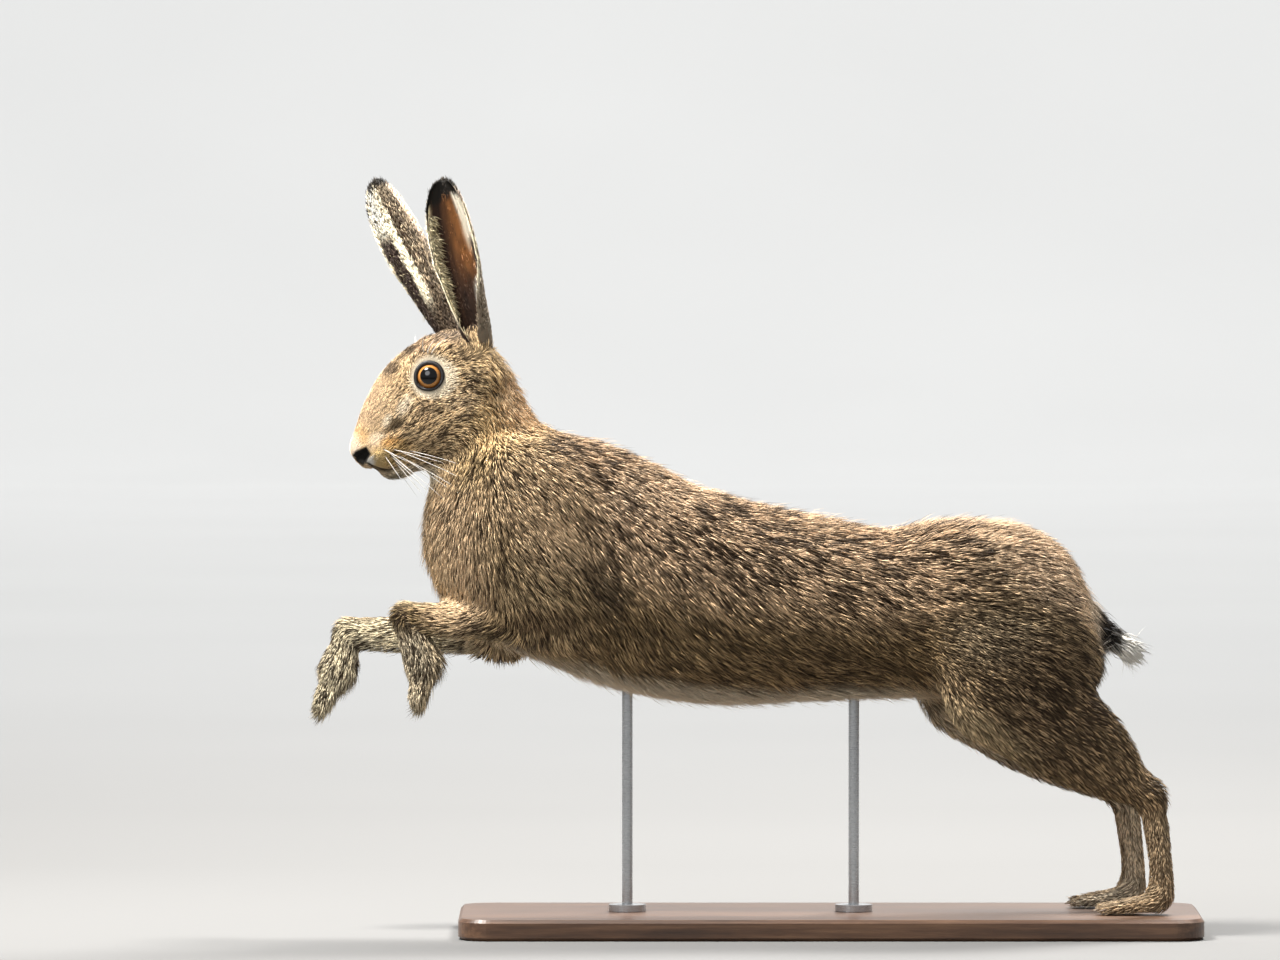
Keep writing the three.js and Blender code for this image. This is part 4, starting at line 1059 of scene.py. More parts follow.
def studio_finish() -> bpy.types.Material:
    """The pale floor and backdrop: matt paper, lighter far back, with a trace of unevenness."""
    f = Finish("studio_paper", Specular_IOR_Level=0.1)
    cloud = f.noise(f.place(), 1.6, 2.0)
    far = f.node("ShaderNodeSeparateXYZ", None, {"Vector": f.place()}, "Y") / STAGE_REACH
    paper = f.ramp(far, *((at, (tone, tone, tone * 0.985)) for at, tone in PAPER))
    f.feed(Base_Color=f.tone(paper, cloud * 0.06 + 0.97), Roughness=cloud * 0.1 + 0.8)
    return f.material


# Markings: colours in linear light, as a clean dry coat reflects them, save for the painted shade of the
# flank and of the legs' undersides
BACK: Colour = (0.66, 0.46, 0.285)
# Painted shade: the flank's colour is darkened for the light falling from above
SHADED_FLANK: Colour = (0.160, 0.106, 0.050)
BELLY: Colour = (0.78, 0.67, 0.50)
SAND: Colour = (0.92, 0.66, 0.40)
CREAM: Colour = (0.92, 0.80, 0.60)
UMBER: Colour = (0.028, 0.016, 0.008)
WHITE: Colour = (0.88, 0.85, 0.78)
# Painted shade with a painted green cast, for the legs' undersides
UNDERSIDE_SHADE: Colour = (0.20, 0.15, 0.07)
SOOT: Colour = (0.009, 0.007, 0.005)
STRAW: Colour = (0.80, 0.70, 0.48)

# The plain colour of each kind of hair but the trunk's, and its contrast from hair to hair
PLAIN = {
    Kind.NECK: ((0.84, 0.60, 0.31), 0.9), Kind.HEAD: ((0.66, 0.475, 0.265), 1.0),
    Kind.MUZZLE: ((0.66, 0.47, 0.27), 0.6), Kind.SHOULDER: ((0.63, 0.46, 0.26), 1.0),
    # The dark tints of the forelegs and the thighs are partly the coat's own brown and partly painted shade
    Kind.FORELEG: ((0.14, 0.096, 0.045), 0.95), Kind.FOREPAW: ((0.66, 0.55, 0.38), 1.0),
    Kind.THIGH: ((0.21, 0.147, 0.08), 0.95), Kind.SHANK: ((0.20, 0.135, 0.072), 0.8),
    Kind.HINDFOOT: ((0.36, 0.26, 0.155), 0.6), Kind.TAIL: (WHITE, 0.2),
}


@dataclass(frozen=True)
class Patch:
    """A soft-edged patch of colour: an ellipsoid on the outline, on both sides if it is off the middle."""

    centre: tuple
    sizes: tuple
    colour: Colour
    amount: float = 0.8
    tilt: float = 0.0
    soft: float = 0.7
    contrast: float = -1.0

    def cover(self, points: Array) -> Array:
        """How much of the patch each point has."""
        both = self.centre[1] > 0
        return Lump(self.centre, self.sizes, self.tilt, both).inside(points, self.soft) * self.amount


BODY_PATCHES = (
    Patch((-276, 0, 290), (32, 60, 76), SAND, 0.95, 0, 0.7, 0.85),
    Patch((-286, 0, 262), (14, 40, 40), (0.88, 0.66, 0.40), 0.6, 10, 0.8, 0.5),
    Patch((-238, 0, 398), (24, 34, 42), (1.0, 0.69, 0.40), 0.9, -34, 0.8, 0.8),
    Patch((-262, 26, 366), (22, 20, 36), (0.86, 0.60, 0.29), 0.7, 0, 0.9, 0.85),
    # Dark at the throat behind the jaw: painted shade
    Patch((-266, 20, 352), (18, 26, 20), (0.20, 0.145, 0.070), 0.7, -30, 0.8, 0.9),
    Patch((-208, 48, 320), (36, 34, 42), (0.80, 0.57, 0.34), 0.8, 20, 0.8, 0.85),
    Patch((-128, 24, 345), (56, 44, 24), (0.86, 0.62, 0.40), 0.75, 20, 0.8, 0.88),
    Patch((160, 40, 296), (66, 50, 40), (0.95, 0.69, 0.45), 0.9, -30, 0.9, 0.86),
    # A thin dark line in the groove between the chest and the shoulder: painted shade
    Patch((-246, 44, 300), (5, 30, 38), (0.15, 0.095, 0.045), 0.6, -12, 0.9, 0.9),
    Patch((-202, 30, 359), (22, 34, 3.0), UMBER, 0.5, 37, 0.9, 1.0),
    Patch((-185, 45, 302), (8, 30, 28), (0.12, 0.08, 0.045), 0.65, 20, 0.9, 1.0),
    Patch((-175, 45, 266), (15, 30, 24), (0.05, 0.034, 0.018), 0.85, 25, 0.9, 0.9),
    # Dark about the elbow: painted shade
    Patch((-214, 40, 242), (34, 30, 12), (0.11, 0.07, 0.035), 0.8, 0, 0.8, 0.8),
    Patch((109, 40, 287.5), (8, 30, 4), SOOT, 0.9, 0, 0.9, 1.0),
    Patch((41, 45, 277), (8, 30, 4), SOOT, 0.8, -30, 0.9, 1.0),
    # Darker low on the haunch: partly the coat's own brown, partly painted shade
    Patch((120, 50, 226), (40, 34, 22), (0.20, 0.15, 0.092), 0.7, 0, 0.8, 0.9),
    Patch((165, 50, 180), (50, 34, 50), (0.105, 0.07, 0.038), 0.75, -30, 0.8, 1.0),
    Patch((194, 0, 246), (7, 40, 16), (0.58, 0.48, 0.36), 0.7, 0, 0.7, 0.7),
    Patch((92, 40, 158), (56, 40, 20), (0.50, 0.38, 0.22), 0.7, -24, 0.8, 0.6),
)
HEAD_PATCHES = (
    Patch((-340, 0, 395), (28, 14, 20), (0.57, 0.40, 0.245), 0.85, 52, 0.7, 0.9),
    Patch((-331, 14, 397), (10, 14, 15), (0.58, 0.42, 0.25), 0.6, 50, 0.8, 0.9),
    Patch((-353, 0, 373), (8, 14, 8), (0.86, 0.54, 0.25), 0.8, 35, 0.8, 0.5),
    Patch((-359, 0, 365), (5, 14, 9), (0.92, 0.76, 0.60), 0.85, -10, 0.8, 0.2),
    Patch((-342, 8, 371), (7.5, 12, 5.5), (0.92, 0.76, 0.55), 0.85, 10, 0.8, 0.4),
    Patch((-332, 14, 367), (9, 10, 5), (0.82, 0.47, 0.16), 0.85, -8, 0.8, 0.7),
    Patch((-338, 12, 357), (10, 14, 8), (0.68, 0.49, 0.21), 0.85, -5, 0.8, 0.7),
    Patch((-324, 16, 360), (10, 12, 9), (0.62, 0.42, 0.18), 0.8, 0, 0.8, 0.95),
    Patch((-296, 22, 374), (26, 18, 18), (0.66, 0.475, 0.265), 0.75, 30, 0.7, 1.0),
    Patch((-306, 0, 440), (20, 18, 12), (0.48, 0.325, 0.20), 0.85, 30, 0.8, 1.0),
    Patch((-286, 0, 448), (20, 22, 14), (0.24, 0.175, 0.115), 0.88, 0, 0.8, 1.05),
    Patch((-275, 18, 420), (8, 14, 12), (0.30, 0.23, 0.14), 0.6, 0, 0.9, 1.0),
    Patch((-284, 22, 400), (14, 14, 12), (0.76, 0.58, 0.37), 0.6, 0, 0.8, 1.0),
    # A dark stripe under the eye: painted shade
    Patch((-311, 20, 391), (8, 10, 7), (0.11, 0.075, 0.042), 0.8, 20, 0.9, 0.8),
    Patch((-324, 18, 395), (4.6, 12, 9), (0.90, 0.80, 0.62), 0.65, -25, 0.8, 0.6),
    # A dark line in the fold above the whisker pad: painted shade in the crease
    Patch((-329, 15, 380), (6, 11, 3), (0.04, 0.026, 0.015), 0.8, 35, 0.9, 0.4),
    Patch((-336, 13, 384), (3, 11, 6), (0.88, 0.78, 0.60), 0.7, -20, 0.9, 0.5),
    Patch((-320, 10, 437), (6.5, 14, 6), (0.04, 0.026, 0.015), 0.9, 20, 0.9, 0.7),
    # Dark before the brow: painted shade of the orbital ridge
    Patch((-333, 8, 424), (7, 12, 5), (0.09, 0.06, 0.04), 0.8, 45, 0.9, 0.7),
    Patch((-314, 14, 421), (4, 8, 3.5), (0.78, 0.42, 0.16), 0.7, 40, 0.9, 0.4),
    Patch((-318, 0, 343), (24, 24, 7), (0.70, 0.60, 0.44), 0.85, 8, 0.7, 0.5),
    # A dark chin: partly painted shade under the jaw
    Patch((-329, 0, 342), (6.5, 9, 4.5), (0.12, 0.095, 0.05), 0.8, 0, 0.8, 0.6),
    Patch((-346.8, 7, 355.4), (4.6, 10, 5.6), (0.92, 0.92, 0.88), 0.95, 28, 0.6, 0.1),
)

# The dark of one nostril in the side view of the straight head: its corners, x and z, each to the next
NOSTRIL = ((-361.0, 355.6), (-358.4, 362.2), (-350.0, 366.2), (-346.2, 360.4), (-351.8, 350.8))

# Folds and swellings of the head's skin: the lump that each fills, and how far it stands out in its middle
RELIEF = (
    (Lump((-336, 13, 359), (12, 9, 8), 0, True), 2.0),
    (Lump((-346.5, 6, 354.5), (5, 6, 4), 0, True), 0.9),
    (Lump((-330, 15, 380), (8, 9, 3.6), 35, True), -2.2),
    (Lump((-306, 17, 433.5), (13, 8, 4.5), 5, True), 2.0),
    (Lump((-320, 16, 405), (8, 8, 11), -20, True), -2.0),
    (Lump((-300, 20, 397), (12, 8, 4), 12, True), 1.4),
    (Lump((-342, 0, 383), (14, 4, 16), 50), 0.8),
)


def nostril_depth(straight: Array) -> Array:
    """How far inside a nostril's dark wedge points of the straight head are, in the side view."""
    corners = np.array(NOSTRIL)
    spans = unit(np.roll(corners, -1, axis=0) - corners)
    outward = np.stack([-spans[:, 1], spans[:, 0]], axis=1)
    gaps = np.stack([(straight[:, [0, 2]] - a) @ n for a, n in zip(corners, outward)])
    return -gaps.max(axis=0) - 4 * smooth(2.2, 1.0, np.abs(straight[:, 1]))


def head_relief(straight: Array) -> Array:
    """How far the head's skin stands out from the plain form: its folds and swellings, nostrils and mouth."""
    rise = sum(lump.inside(straight, 1.0) * height for lump, height in RELIEF)
    hole = smooth(0.4, 3.4, nostril_depth(straight))
    rim = np.exp(-((nostril_depth(straight) + 0.6) / 1.3) ** 2) * smooth(-356, -350, straight[:, 0])
    groove = np.exp(-(mouth_gap(straight) / 1.5) ** 2) * smooth(-352, -345, straight[:, 0])
    groove *= smooth(-322, -332, straight[:, 0]) * (np.abs(straight[:, 1]) > 2)
    return rise - 4.0 * hole + 0.7 * rim - 1.8 * groove


def markings(points: Array, normals: Array, place: Place) -> tuple[Array, Array]:
    """The coat's colour and its contrast from hair to hair, for the skin and the tufts alike.

    Args:
        points: (N, 3) on the outline.
        normals: the outward directions there.
        place: what is known about the points.
    Returns:
        Colours, and contrasts from 0, even, to 1, strongly grizzled. Each kind has its colour, the trunk one
        for each height, and soft patches are laid over it in turn. Some colours are painted shade and painted
        light: the trunk's dark lower sides, the dark tints of forelegs and thighs, dark patches in creases
            and
        hollows, the legs' olive undersides, the forearms' pale tops, the far foreleg's pale side, the bottoms
        of the ears' cups, the mouth's crease and the nostrils.
    """
    # The trunk is dark low on its sides, between the pale belly and the back: painted shade from the light
    # above
    trunk = layered(np.outer(np.ones(len(points)), BELLY), (SHADED_FLANK, smooth(-0.99, -0.76, place.rise)),
                    (BACK, smooth(-0.3, 0.55, place.rise)))
    colour = trunk * place.kind(Kind.TRUNK)[:, None]
    contrast = smooth(-1.05, -0.7, place.rise) * 0.85 + smooth(-0.3, 0.6, place.rise) * 0.25
    contrast *= place.kind(Kind.TRUNK)
    for kind, (tint, plain) in PLAIN.items():
        colour += np.outer(place.kind(kind), tint)
        contrast += place.kind(kind) * plain
    straight = straightened(points)
    near_head = smooth(-235, -262, points[:, 0]) * smooth(318, 335, points[:, 2])
    for patches, where, limit in ((BODY_PATCHES, points, 1.0), (HEAD_PATCHES, straight, near_head)):
        for patch in patches:
            cover = patch.cover(where) * limit
            colour = blend(colour, patch.colour, cover)
            contrast = contrast + (patch.contrast - contrast) * cover
    eye_ring = smooth(1.05, 0.84, eye_distance(straight)) * near_head
    contrast = contrast * (1 - 0.85 * eye_ring)
    # Painted shade: the crease of the mouth and the hollows of the nostrils are made near black
    lips = smooth(1.9, 0.5, mouth_gap(straight)) * smooth(-323, -336, straight[:, 0]) * 0.9
    dark = np.maximum(lips, smooth(-0.5, 0.7, nostril_depth(straight))) * near_head
    ahead = smooth(-250, -275, points[:, 0])
    inward = -normals[:, 1] * np.sign(points[:, 1])
    # Painted shade with a green cast on the legs' undersides
    under = smooth(-0.3, -0.9, normals[:, 2]) * place.kind(Kind.FORELEG, Kind.FOREPAW, Kind.SHANK)
    # Painted light: the forelegs' upward faces are made paler
    lit_crest = smooth(0.55, 0.95, normals[:, 2]) * place.kind(Kind.FORELEG) * ahead
    heel = smooth(0.1, 0.8, normals[:, 0]) * place.kind(Kind.FOREPAW)
    inner_hind = smooth(0.2, 0.9, inward) * place.kind(Kind.SHANK, Kind.HINDFOOT, Kind.THIGH)
    # Pale inner faces of the forelegs: the legs' own paler inside, and partly painted light on the far
    # foreleg, whose inner face is the one in view
    inner_fore = smooth(0.1, 0.7, inward) * place.kind(Kind.FORELEG, Kind.FOREPAW) * ahead
    tail_top = (smooth(0.1, 0.4, place.kind(Kind.TAIL)) * smooth(-0.45, 0.05, normals[:, 2])
                * smooth(214, 206, points[:, 0]))
    # The near black laid on the bottom of the ears' cups by ear_floor is painted shade
    colour = layered(
        colour, (CREAM, eye_ring * 0.88), (SOOT, dark), ((0.02, 0.012, 0.008), ear_floor(points)),
        (UNDERSIDE_SHADE, under * 0.5), ((0.66, 0.52, 0.32), lit_crest * 0.45), ((0.22, 0.165, 0.09), heel * 0.7),
        (BELLY, inner_hind * 0.6), (STRAW, inner_fore * 0.75), (SOOT, tail_top))
    mottle = noise(points, 26, 11) * 0.10 + noise(points, 9, 12) * 0.08
    return colour * (1 + mottle * (0.4 + contrast))[:, None], contrast * (1 - dark)


def eye_distance(straight: Array) -> Array:
    """How far points are from an eye in the side view: 1 on the outer edge of the pale ring round it."""
    across = (straight[:, 0] - EYE_PLACE[0]) / 17.2
    high = (straight[:, 2] - EYE_PLACE[2]) / 17.0
    return np.hypot(across, high) + 3 * (np.abs(straight[:, 1]) < 6)


def ear_floor(points: Array) -> Array:
    """1 on the flesh at the bottom of the ears' cups, 0 elsewhere."""
    cover = np.zeros(len(points))
    for ear in EARS.values():
        rise, reach = ear.from_root(points)
        cover = np.maximum(cover, smooth(3, 7, rise) * smooth(16, 13, reach))
    return cover


def dark_marks(points: Array, lie: Array, contrast: Array) -> Array:
    """Rows of dark marks along the lie, strongest on the upper back: 1 in the middle of a mark."""
    return smooth(0.15, 0.6, streaks(points, lie, 2.5, 6.5, 71)) * smooth(0.85, 1.08, contrast)


def unwrap(place: Place) -> tuple[Array, Array]:
    """Each chain's rectangle of the unwrap: along it one way and round it the other, in a grid of 4 by 3."""
    column, row = place.chain % 4, place.chain // 4
    u = (column + 0.04 + 0.90 * place.along) / 4
    v = (row + 0.04 + 0.90 * (place.angle / (2 * math.pi) + 0.5)) / 3
    return u, v


@dataclass
class Roots:
    """Where tufts grow and how: everything is one row a tuft."""

    points: Array
    normals: Array
    lie: Array
    depth: Array
    length: Array
    width: Array
    colour: Array
    contrast: Array
    flat: tuple[Array, Array]

    def __getitem__(self, chosen: Array) -> "Roots":
        """The chosen rows."""
        *columns, (u, v) = (getattr(self, field.name) for field in fields(self))
        return Roots(*(column[chosen] for column in columns), (u[chosen], v[chosen]))


@dataclass(frozen=True)
class Tufts:
    """Turns roots into thin tapered closed tufts of three sides, bent over along the lie.

    strand is the width of the streaks of one height and tone, clump the size of the clumps and pull how far
    tips lean into them, guards the share of guard hairs, rings the places of the rings along a tuft, and
    patch a tuft's size on the unwrap.
    """

    strand: float = 1.15
    clump: float = 4.2
    pull: float = 0.3
    guards: float = 0.4
    rings: tuple[float, ...] = (0.0, 0.5)
    patch: float = 0.003

    def shape(self, roots: Roots, rng: np.random.Generator) -> tuple[Array, Array, Array, tuple]:
        """The tufts' mesh.

        Args:
            roots: where the tufts grow.
            rng: the seeded source of the variation.
        Returns:
            Points, faces, colours and the unwrap. A tuft's centre line is root + lie * L t + normal *
            D (2 t - t t) + pull t t, where the pull draws tips together in clumps, and each ring is a flat
            triangle whose width tapers to the tip. Some tufts are guard hairs, which are longer, thinner and
            lie over the others. Height and mood, from dark to pale, run in streaks along the lie.
        """
        n, rings = len(roots.points), len(self.rings)
        middle = roots.points + roots.lie * roots.length[:, None] * 0.5
        fine = streaks(middle, roots.lie, self.strand, self.strand * 4, 51)
        broad = streaks(middle, roots.lie, self.strand * 2.6, self.strand * 7, 61)
        guard = (rng.random(n) < self.guards).astype(float)
        stray = guard * smooth(0.82, 1.0, rng.random(n))
        across = np.cross(roots.lie, roots.normals)
        lie = unit(roots.lie + across * (rng.standard_normal(n) * (0.07 + 0.07 * guard))[:, None])
        toward = clumps(middle, self.clump, 21) - roots.points
        aside = flattened(flattened(toward, roots.normals), roots.lie) * self.pull
        length = roots.length * rng.uniform(0.75, 1.1, n) * (0.88 + 0.24 * guard)
        rise = roots.depth * (0.76 + 0.10 * broad + 0.05 * fine + 0.14 * rng.random(n) + 0.16 * guard
                              + 0.5 * stray)
        t = np.array((*self.rings, 1.0))[None, :, None]
        line = (roots.points[:, None] + lie[:, None] * length[:, None, None] * t
                + roots.normals[:, None] * (rise[:, None, None] * (2 * t - t * t) - 0.5)
                + aside[:, None] * t * t)
        profile = np.sin(np.pi * (0.28 + 0.72 * np.array(self.rings))) ** 0.7
        half = roots.width[:, None] * profile * (rng.uniform(0.38, 0.62, n) * (1.08 - 0.3 * guard))[:, None]
        body = line[:, :rings]
        left = body - across[:, None] * half[..., None]
        right = body + across[:, None] * half[..., None]
        top = body + roots.normals[:, None] * half[..., None] * 0.55
        sides = np.stack([left, right, top], axis=2).reshape(n, rings * 3, 3)
        points = np.concatenate([sides, line[:, rings:]], axis=1)
        faces = repeated(np.array(self._faces()), n, rings * 3 + 1)
        mood = 0.5 * fine + 0.32 * broad + 0.58 * rng.standard_normal(n)
        colours = self._colours(roots, mood, guard, dark_marks(middle, roots.lie, roots.contrast))
        u = roots.flat[0][:, None] + (np.append(np.tile([-1, 1, 0], rings), 0) * 0.5 * self.patch)[None]
        v = roots.flat[1][:, None] + ((np.append(np.repeat(self.rings, 3), 1.0) - 0.5) * self.patch)[None]
        return points.reshape(-1, 3), faces, colours, (u.ravel(), v.ravel())

    def _faces(self) -> list[tuple[int, int, int]]:
        """One tuft's triangles: the root's, two to each side between rings, and three to the tip."""
        faces, last = [(0, 1, 2)], (len(self.rings) - 1) * 3
        for ring in range(len(self.rings) - 1):
            for j in range(3):
                a, b = ring * 3 + j, ring * 3 + (j + 1) % 3
                faces += [(a, b + 3, b), (a, a + 3, b + 3)]
        tip = last + 3
        return faces + [(last + j, tip, last + (j + 1) % 3) for j in range(3)]

    @staticmethod
    def _colours(roots: Roots, mood: Array, guard: Array, marks: Array) -> Array:
        """Banded hair: dark at the root, its colour in the middle, and a pale, plain or black tip.

        Args:
            roots: with the coat's colour and contrast.
            mood: from about -1, for a black tip, to 1, for a pale one.
            guard: 1 for guard hairs.
            marks: how deep in a dark mark of the back each tuft is.
        Returns:
            A colour for each point: three at the root, three at the middle and one at the tip.
        """
        def capped(colours: Array) -> Array:
            """Colours no brighter than hair is, each of its own hue."""
            top = colours.max(axis=1, keepdims=True)
            limit = 0.72 + 0.22 * colours.min(axis=1, keepdims=True) / top
            return colours * np.minimum(1, limit / top)

        wild = np.clip(roots.contrast, 0, 1.1)
        mood = mood - 1.1 * marks
        dark = smooth(-0.28, -0.6, mood + 1.3 * (1 - wild))
        pale = smooth(0.1, 0.55, mood) * wild
        base = roots.colour * np.exp(0.95 * wild * np.clip(mood, -1, 0.9))[:, None]
        # Dark roots: the hair's own dark base, and partly painted shade deep in the coat
        under = blend(base * 0.46, UMBER, 0.38 * wild)
        band = blend(capped(base * (0.85 + 0.45 * pale)[:, None]), np.array(UMBER) * 1.5, dark * 0.85)
        light = capped(base * (1.12 + 0.6 * pale + 0.2 * guard * pale)[:, None])
        tip = layered(light, ((0.84, 0.64, 0.43), 0.3 * pale), (UMBER, dark * 0.92))
        rows = [under] * 3 + [band] * 3 + [tip]
        return np.clip(np.stack(rows, axis=1), 0, 1).reshape(-1, 3)


class Coat:
    """The hair of the body, grown from the skin and divided into pieces.

    LOIN is the x that divides the ribs from the loin. The heights of their middles divide upper from lower.
    """

    LIMBS = ("shoulder", "forearm", "forepaw", "thigh", "shank", "hindfoot")
    LOIN, RIBS_MIDDLE, LOIN_MIDDLE = -45, 258, 246
    SIDE_PIECES = {
        "shoulder": (Kind.SHOULDER,), "haunch": (Kind.THIGH,), "head": (Kind.HEAD, Kind.MUZZLE),
        "foreleg": (Kind.FORELEG, Kind.FOREPAW), "hindleg": (Kind.SHANK, Kind.HINDFOOT),
    }

    def __init__(self, flesh: Flesh, outline: Array, faces: Array) -> None:
        """Takes the form, and the outline's points and faces, and works out all that the skin needs."""
        self.flesh, self.faces = flesh, faces
        self.normals = flesh.normals(outline)
        straight = straightened(outline)
        near_head = (straight[:, 0] < -270) & (straight[:, 2] > 335)
        self.outline = outline + self.normals * (head_relief(straight) * near_head)[:, None]
        self.place = flesh.place(outline, self.normals)
        self.colour, self.contrast = markings(outline, self.normals, self.place)
        self.depth = self.place.law(0)
        self.skin_points = self._socket(self.outline - self.normals * self.depth[:, None])

    def skin(self) -> bpy.types.Object:
        """The skin: the outline drawn in by the coat's depth."""
        marks = dark_marks(self.outline, self.place.lie, self.contrast)
        tone = blend(self.colour * 0.6, UMBER, np.clip(self.contrast * 0.4 + marks * 0.3, 0, 0.9))
        obj = make_mesh("skin", self.skin_points, self.faces, skin_finish(), {"coat": tone})
        nodes = ["head", "lower_jaw", "neck", "torso"]
        for side in ("left", "right"):
            nodes += [f"{part}_{side}" for part in self.LIMBS]
        return report(obj, "fur", nodes)

    def roots(self, rng: np.random.Generator) -> Roots:
        """Roots scattered over the skin, as close together as each kind's spacing says."""
        tris = np.vstack([self.faces[:, [0, 1, 2]], self.faces[:, [0, 2, 3]]])
        corners = self.skin_points[tris]
        edges = corners[:, 1:] - corners[:, :1]
        area = np.linalg.norm(np.cross(edges[:, 0], edges[:, 1]), axis=1) / 2
        spacing = self.place.law(3)[tris].mean(axis=1) * SPACING_SCALE
        count = np.floor(area / spacing ** 2 + rng.random(len(tris))).astype(int)
        tri = np.repeat(np.arange(len(tris)), count)
        mix = rng.dirichlet((1, 1, 1), len(tri))

        def at(values: Array) -> Array:
            """Values of the outline's points, mixed at the roots."""
            return np.einsum("ij,ij...->i...", mix, values[tris[tri]])

        points, normals = at(self.skin_points), unit(at(self.normals))
        lie = at(self.place.lie)
        lie = unit(flattened(lie, normals))
        from_ears = [np.linalg.norm(points - ear.root, axis=1) for ear in EARS.values()]
        short = 1 - 0.4 * smooth(*SHORT_ROUND_EAR, np.minimum.reduce(from_ears))
        self.kind = at(self.place.mix)
        first = tris[tri, 0]
        u, v = unwrap(self.place)
        near = (np.stack([u, v], axis=1)[tris[tri]] * mix[..., None]).sum(axis=1)
        spread = np.ptp(v[tris[tri]], axis=1) > 0.1
        flat = np.where(spread[:, None], np.stack([u[first], v[first]], axis=1), near)
        return Roots(points, normals, lie, at(self.depth) * short, at(self.place.law(1)) * short,
                     at(self.place.law(2)) * short * WIDTH_SCALE, at(self.colour), at(self.contrast),
                     (flat[:, 0], flat[:, 1]))

    def build(self) -> None:
        """Grows the hair and makes each piece of it."""
        rng = np.random.default_rng(7)
        roots = self.roots(rng)
        straight = straightened(roots.points)
        lips = (mouth_gap(straight) < 0.7) & (straight[:, 0] < -332)
        bare = (nostril_depth(straight) > 0.6) | lips | (ear_floor(roots.points) > 0.5)
        keep = self._eye_gap(straight) & ~bare & (roots.points[:, 2] > GROUND + 1.2)
        roots, mix, straight = roots[keep], self.kind[keep], straight[keep]
        self._feather(roots, mix)
        self._trim_by_eyes(roots, straight)
        left = roots.points[:, 1] < 0
        top = mix.argmax(axis=1)

        def of(*kinds: Kind) -> Array:
            """Rows whose main kind is one of these."""
            return np.isin(top, [KINDS.index(k) for k in kinds])

        ahead = roots.points[:, 0] < self.LOIN
        upper = roots.points[:, 2] > np.where(ahead, self.RIBS_MIDDLE, self.LOIN_MIDDLE)
        pieces = {"coat_neck": of(Kind.NECK), "coat_tail": of(Kind.TAIL)}
        for side, here in (("left", left), ("right", ~left)):
            for part, there in (("ribs", ahead), ("loin", ~ahead)):
                pieces[f"coat_{part}_upper_{side}"] = of(Kind.TRUNK) & here & there & upper
                pieces[f"coat_{part}_lower_{side}"] = of(Kind.TRUNK) & here & there & ~upper
            for part, kinds in self.SIDE_PIECES.items():
                pieces[f"coat_{part}_{side}"] = of(*kinds) & here
        material = coat_finish()
        short = Tufts(strand=1.1, clump=2.8, pull=0.3)
        for name, chosen in pieces.items():
            tufts = short if name.split("_")[1] in ("head", "foreleg", "hindleg") else Tufts()
            points, faces, colours, flat = tufts.shape(roots[chosen], rng)
            obj = make_mesh(name, points, faces, material, {"coat": colours}, flat)
            report(obj, *(("white_fur", ["tail"]) if name == "coat_tail" else ("fur",)))

    @staticmethod
    def _feather(roots: Roots, mix: Array) -> None:
        """Makes the hair stand off round the tail and hang longer behind the forepaws and under the arms."""
        tail, paw, arm = (mix[:, KINDS.index(k)] for k in (Kind.TAIL, Kind.FOREPAW, Kind.FORELEG))
        behind = smooth(-0.1, 0.8, roots.normals[:, 0] - 0.4 * roots.normals[:, 2])
        below = smooth(0.2, 0.9, -roots.normals[:, 2])
        roots.depth *= 1 + 1.5 * tail + paw * (0.7 + 2.6 * behind) + 1.5 * arm * below
        roots.length *= 1 + paw * (0.3 + 0.9 * behind) + 0.25 * arm * below

    @staticmethod
    def _from_eye(straight: Array) -> tuple[Array, Array]:
        """How far points are from the nearer eye's axis, and how far out along it they are."""
        gaze = unit(np.array(EYE_GAZE))
        q = np.stack([straight[:, 0], np.abs(straight[:, 1]), straight[:, 2]], axis=1) - EYE_PLACE
        out = q @ gaze
        return np.linalg.norm(q - out[:, None] * gaze, axis=1), out

    @classmethod
    def _socket(cls, points: Array) -> Array:
        """Levels the skin round each eye, for the lids to lie on, and hollows it behind the ball."""
        straight = straightened(points)
        reach, out = cls._from_eye(straight)
        near = smooth(20, 12.5, reach) * smooth(-8, -3, out)
        level = 6.6 - 2.5 * smooth(10.5, 9.0, reach)
        gazes = np.where(straight[:, 1:2] < 0, eye_axes(-1)[1], eye_axes(1)[1])
        return points + gazes * ((level - out) * near)[:, None]

    @classmethod
    def _eye_gap(cls, straight: Array) -> Array:
        """True where hair may grow: outside the lids."""
        reach, out = cls._from_eye(straight)
        return (reach > HAIRLESS_RADIUS) | (out < -2)

    @classmethod
    def _trim_by_eyes(cls, roots: Roots, straight: Array) -> None:
        """Makes the hair short and fine beside the lids, growing to its full length a little way off."""
        reach, _ = cls._from_eye(straight)
        share = 0.42 + 0.58 * smooth(HAIRLESS_RADIUS, HAIRLESS_RADIUS + 9, reach)
        roots.length *= share
        roots.depth *= share


def ring_faces(rings: int, around: int) -> Array:
    """Four-sided faces between neighbouring rings that close on themselves."""
    i, j = np.meshgrid(np.arange(rings - 1), np.arange(around), indexing="ij")
    a, b = i * around + j, i * around + (j + 1) % around
    return np.stack([a, b, b + around, a + around], axis=-1).reshape(-1, 4)


def repeated(faces: Array, times: int, points: int) -> Array:
    """One shape's faces again for each of so many shapes, whose points follow one another."""
    return (faces[None] + (np.arange(times) * points)[:, None, None]).reshape(-1, faces.shape[1])


def closed_faces(rings: int, around: int) -> Array:
    """The ring faces as triangles, closed at both ends by the two points that follow the rings' own."""
    quads = ring_faces(rings, around)
    j = np.arange(around)
    k = (j + 1) % around
    first, final, last = rings * around, rings * around + 1, (rings - 1) * around
    return np.vstack([quads[:, [0, 1, 2]], quads[:, [0, 2, 3]],
                      np.stack([np.full_like(j, first), k, j], axis=1),
                      np.stack([np.full_like(j, final), last + j, last + k], axis=1)])


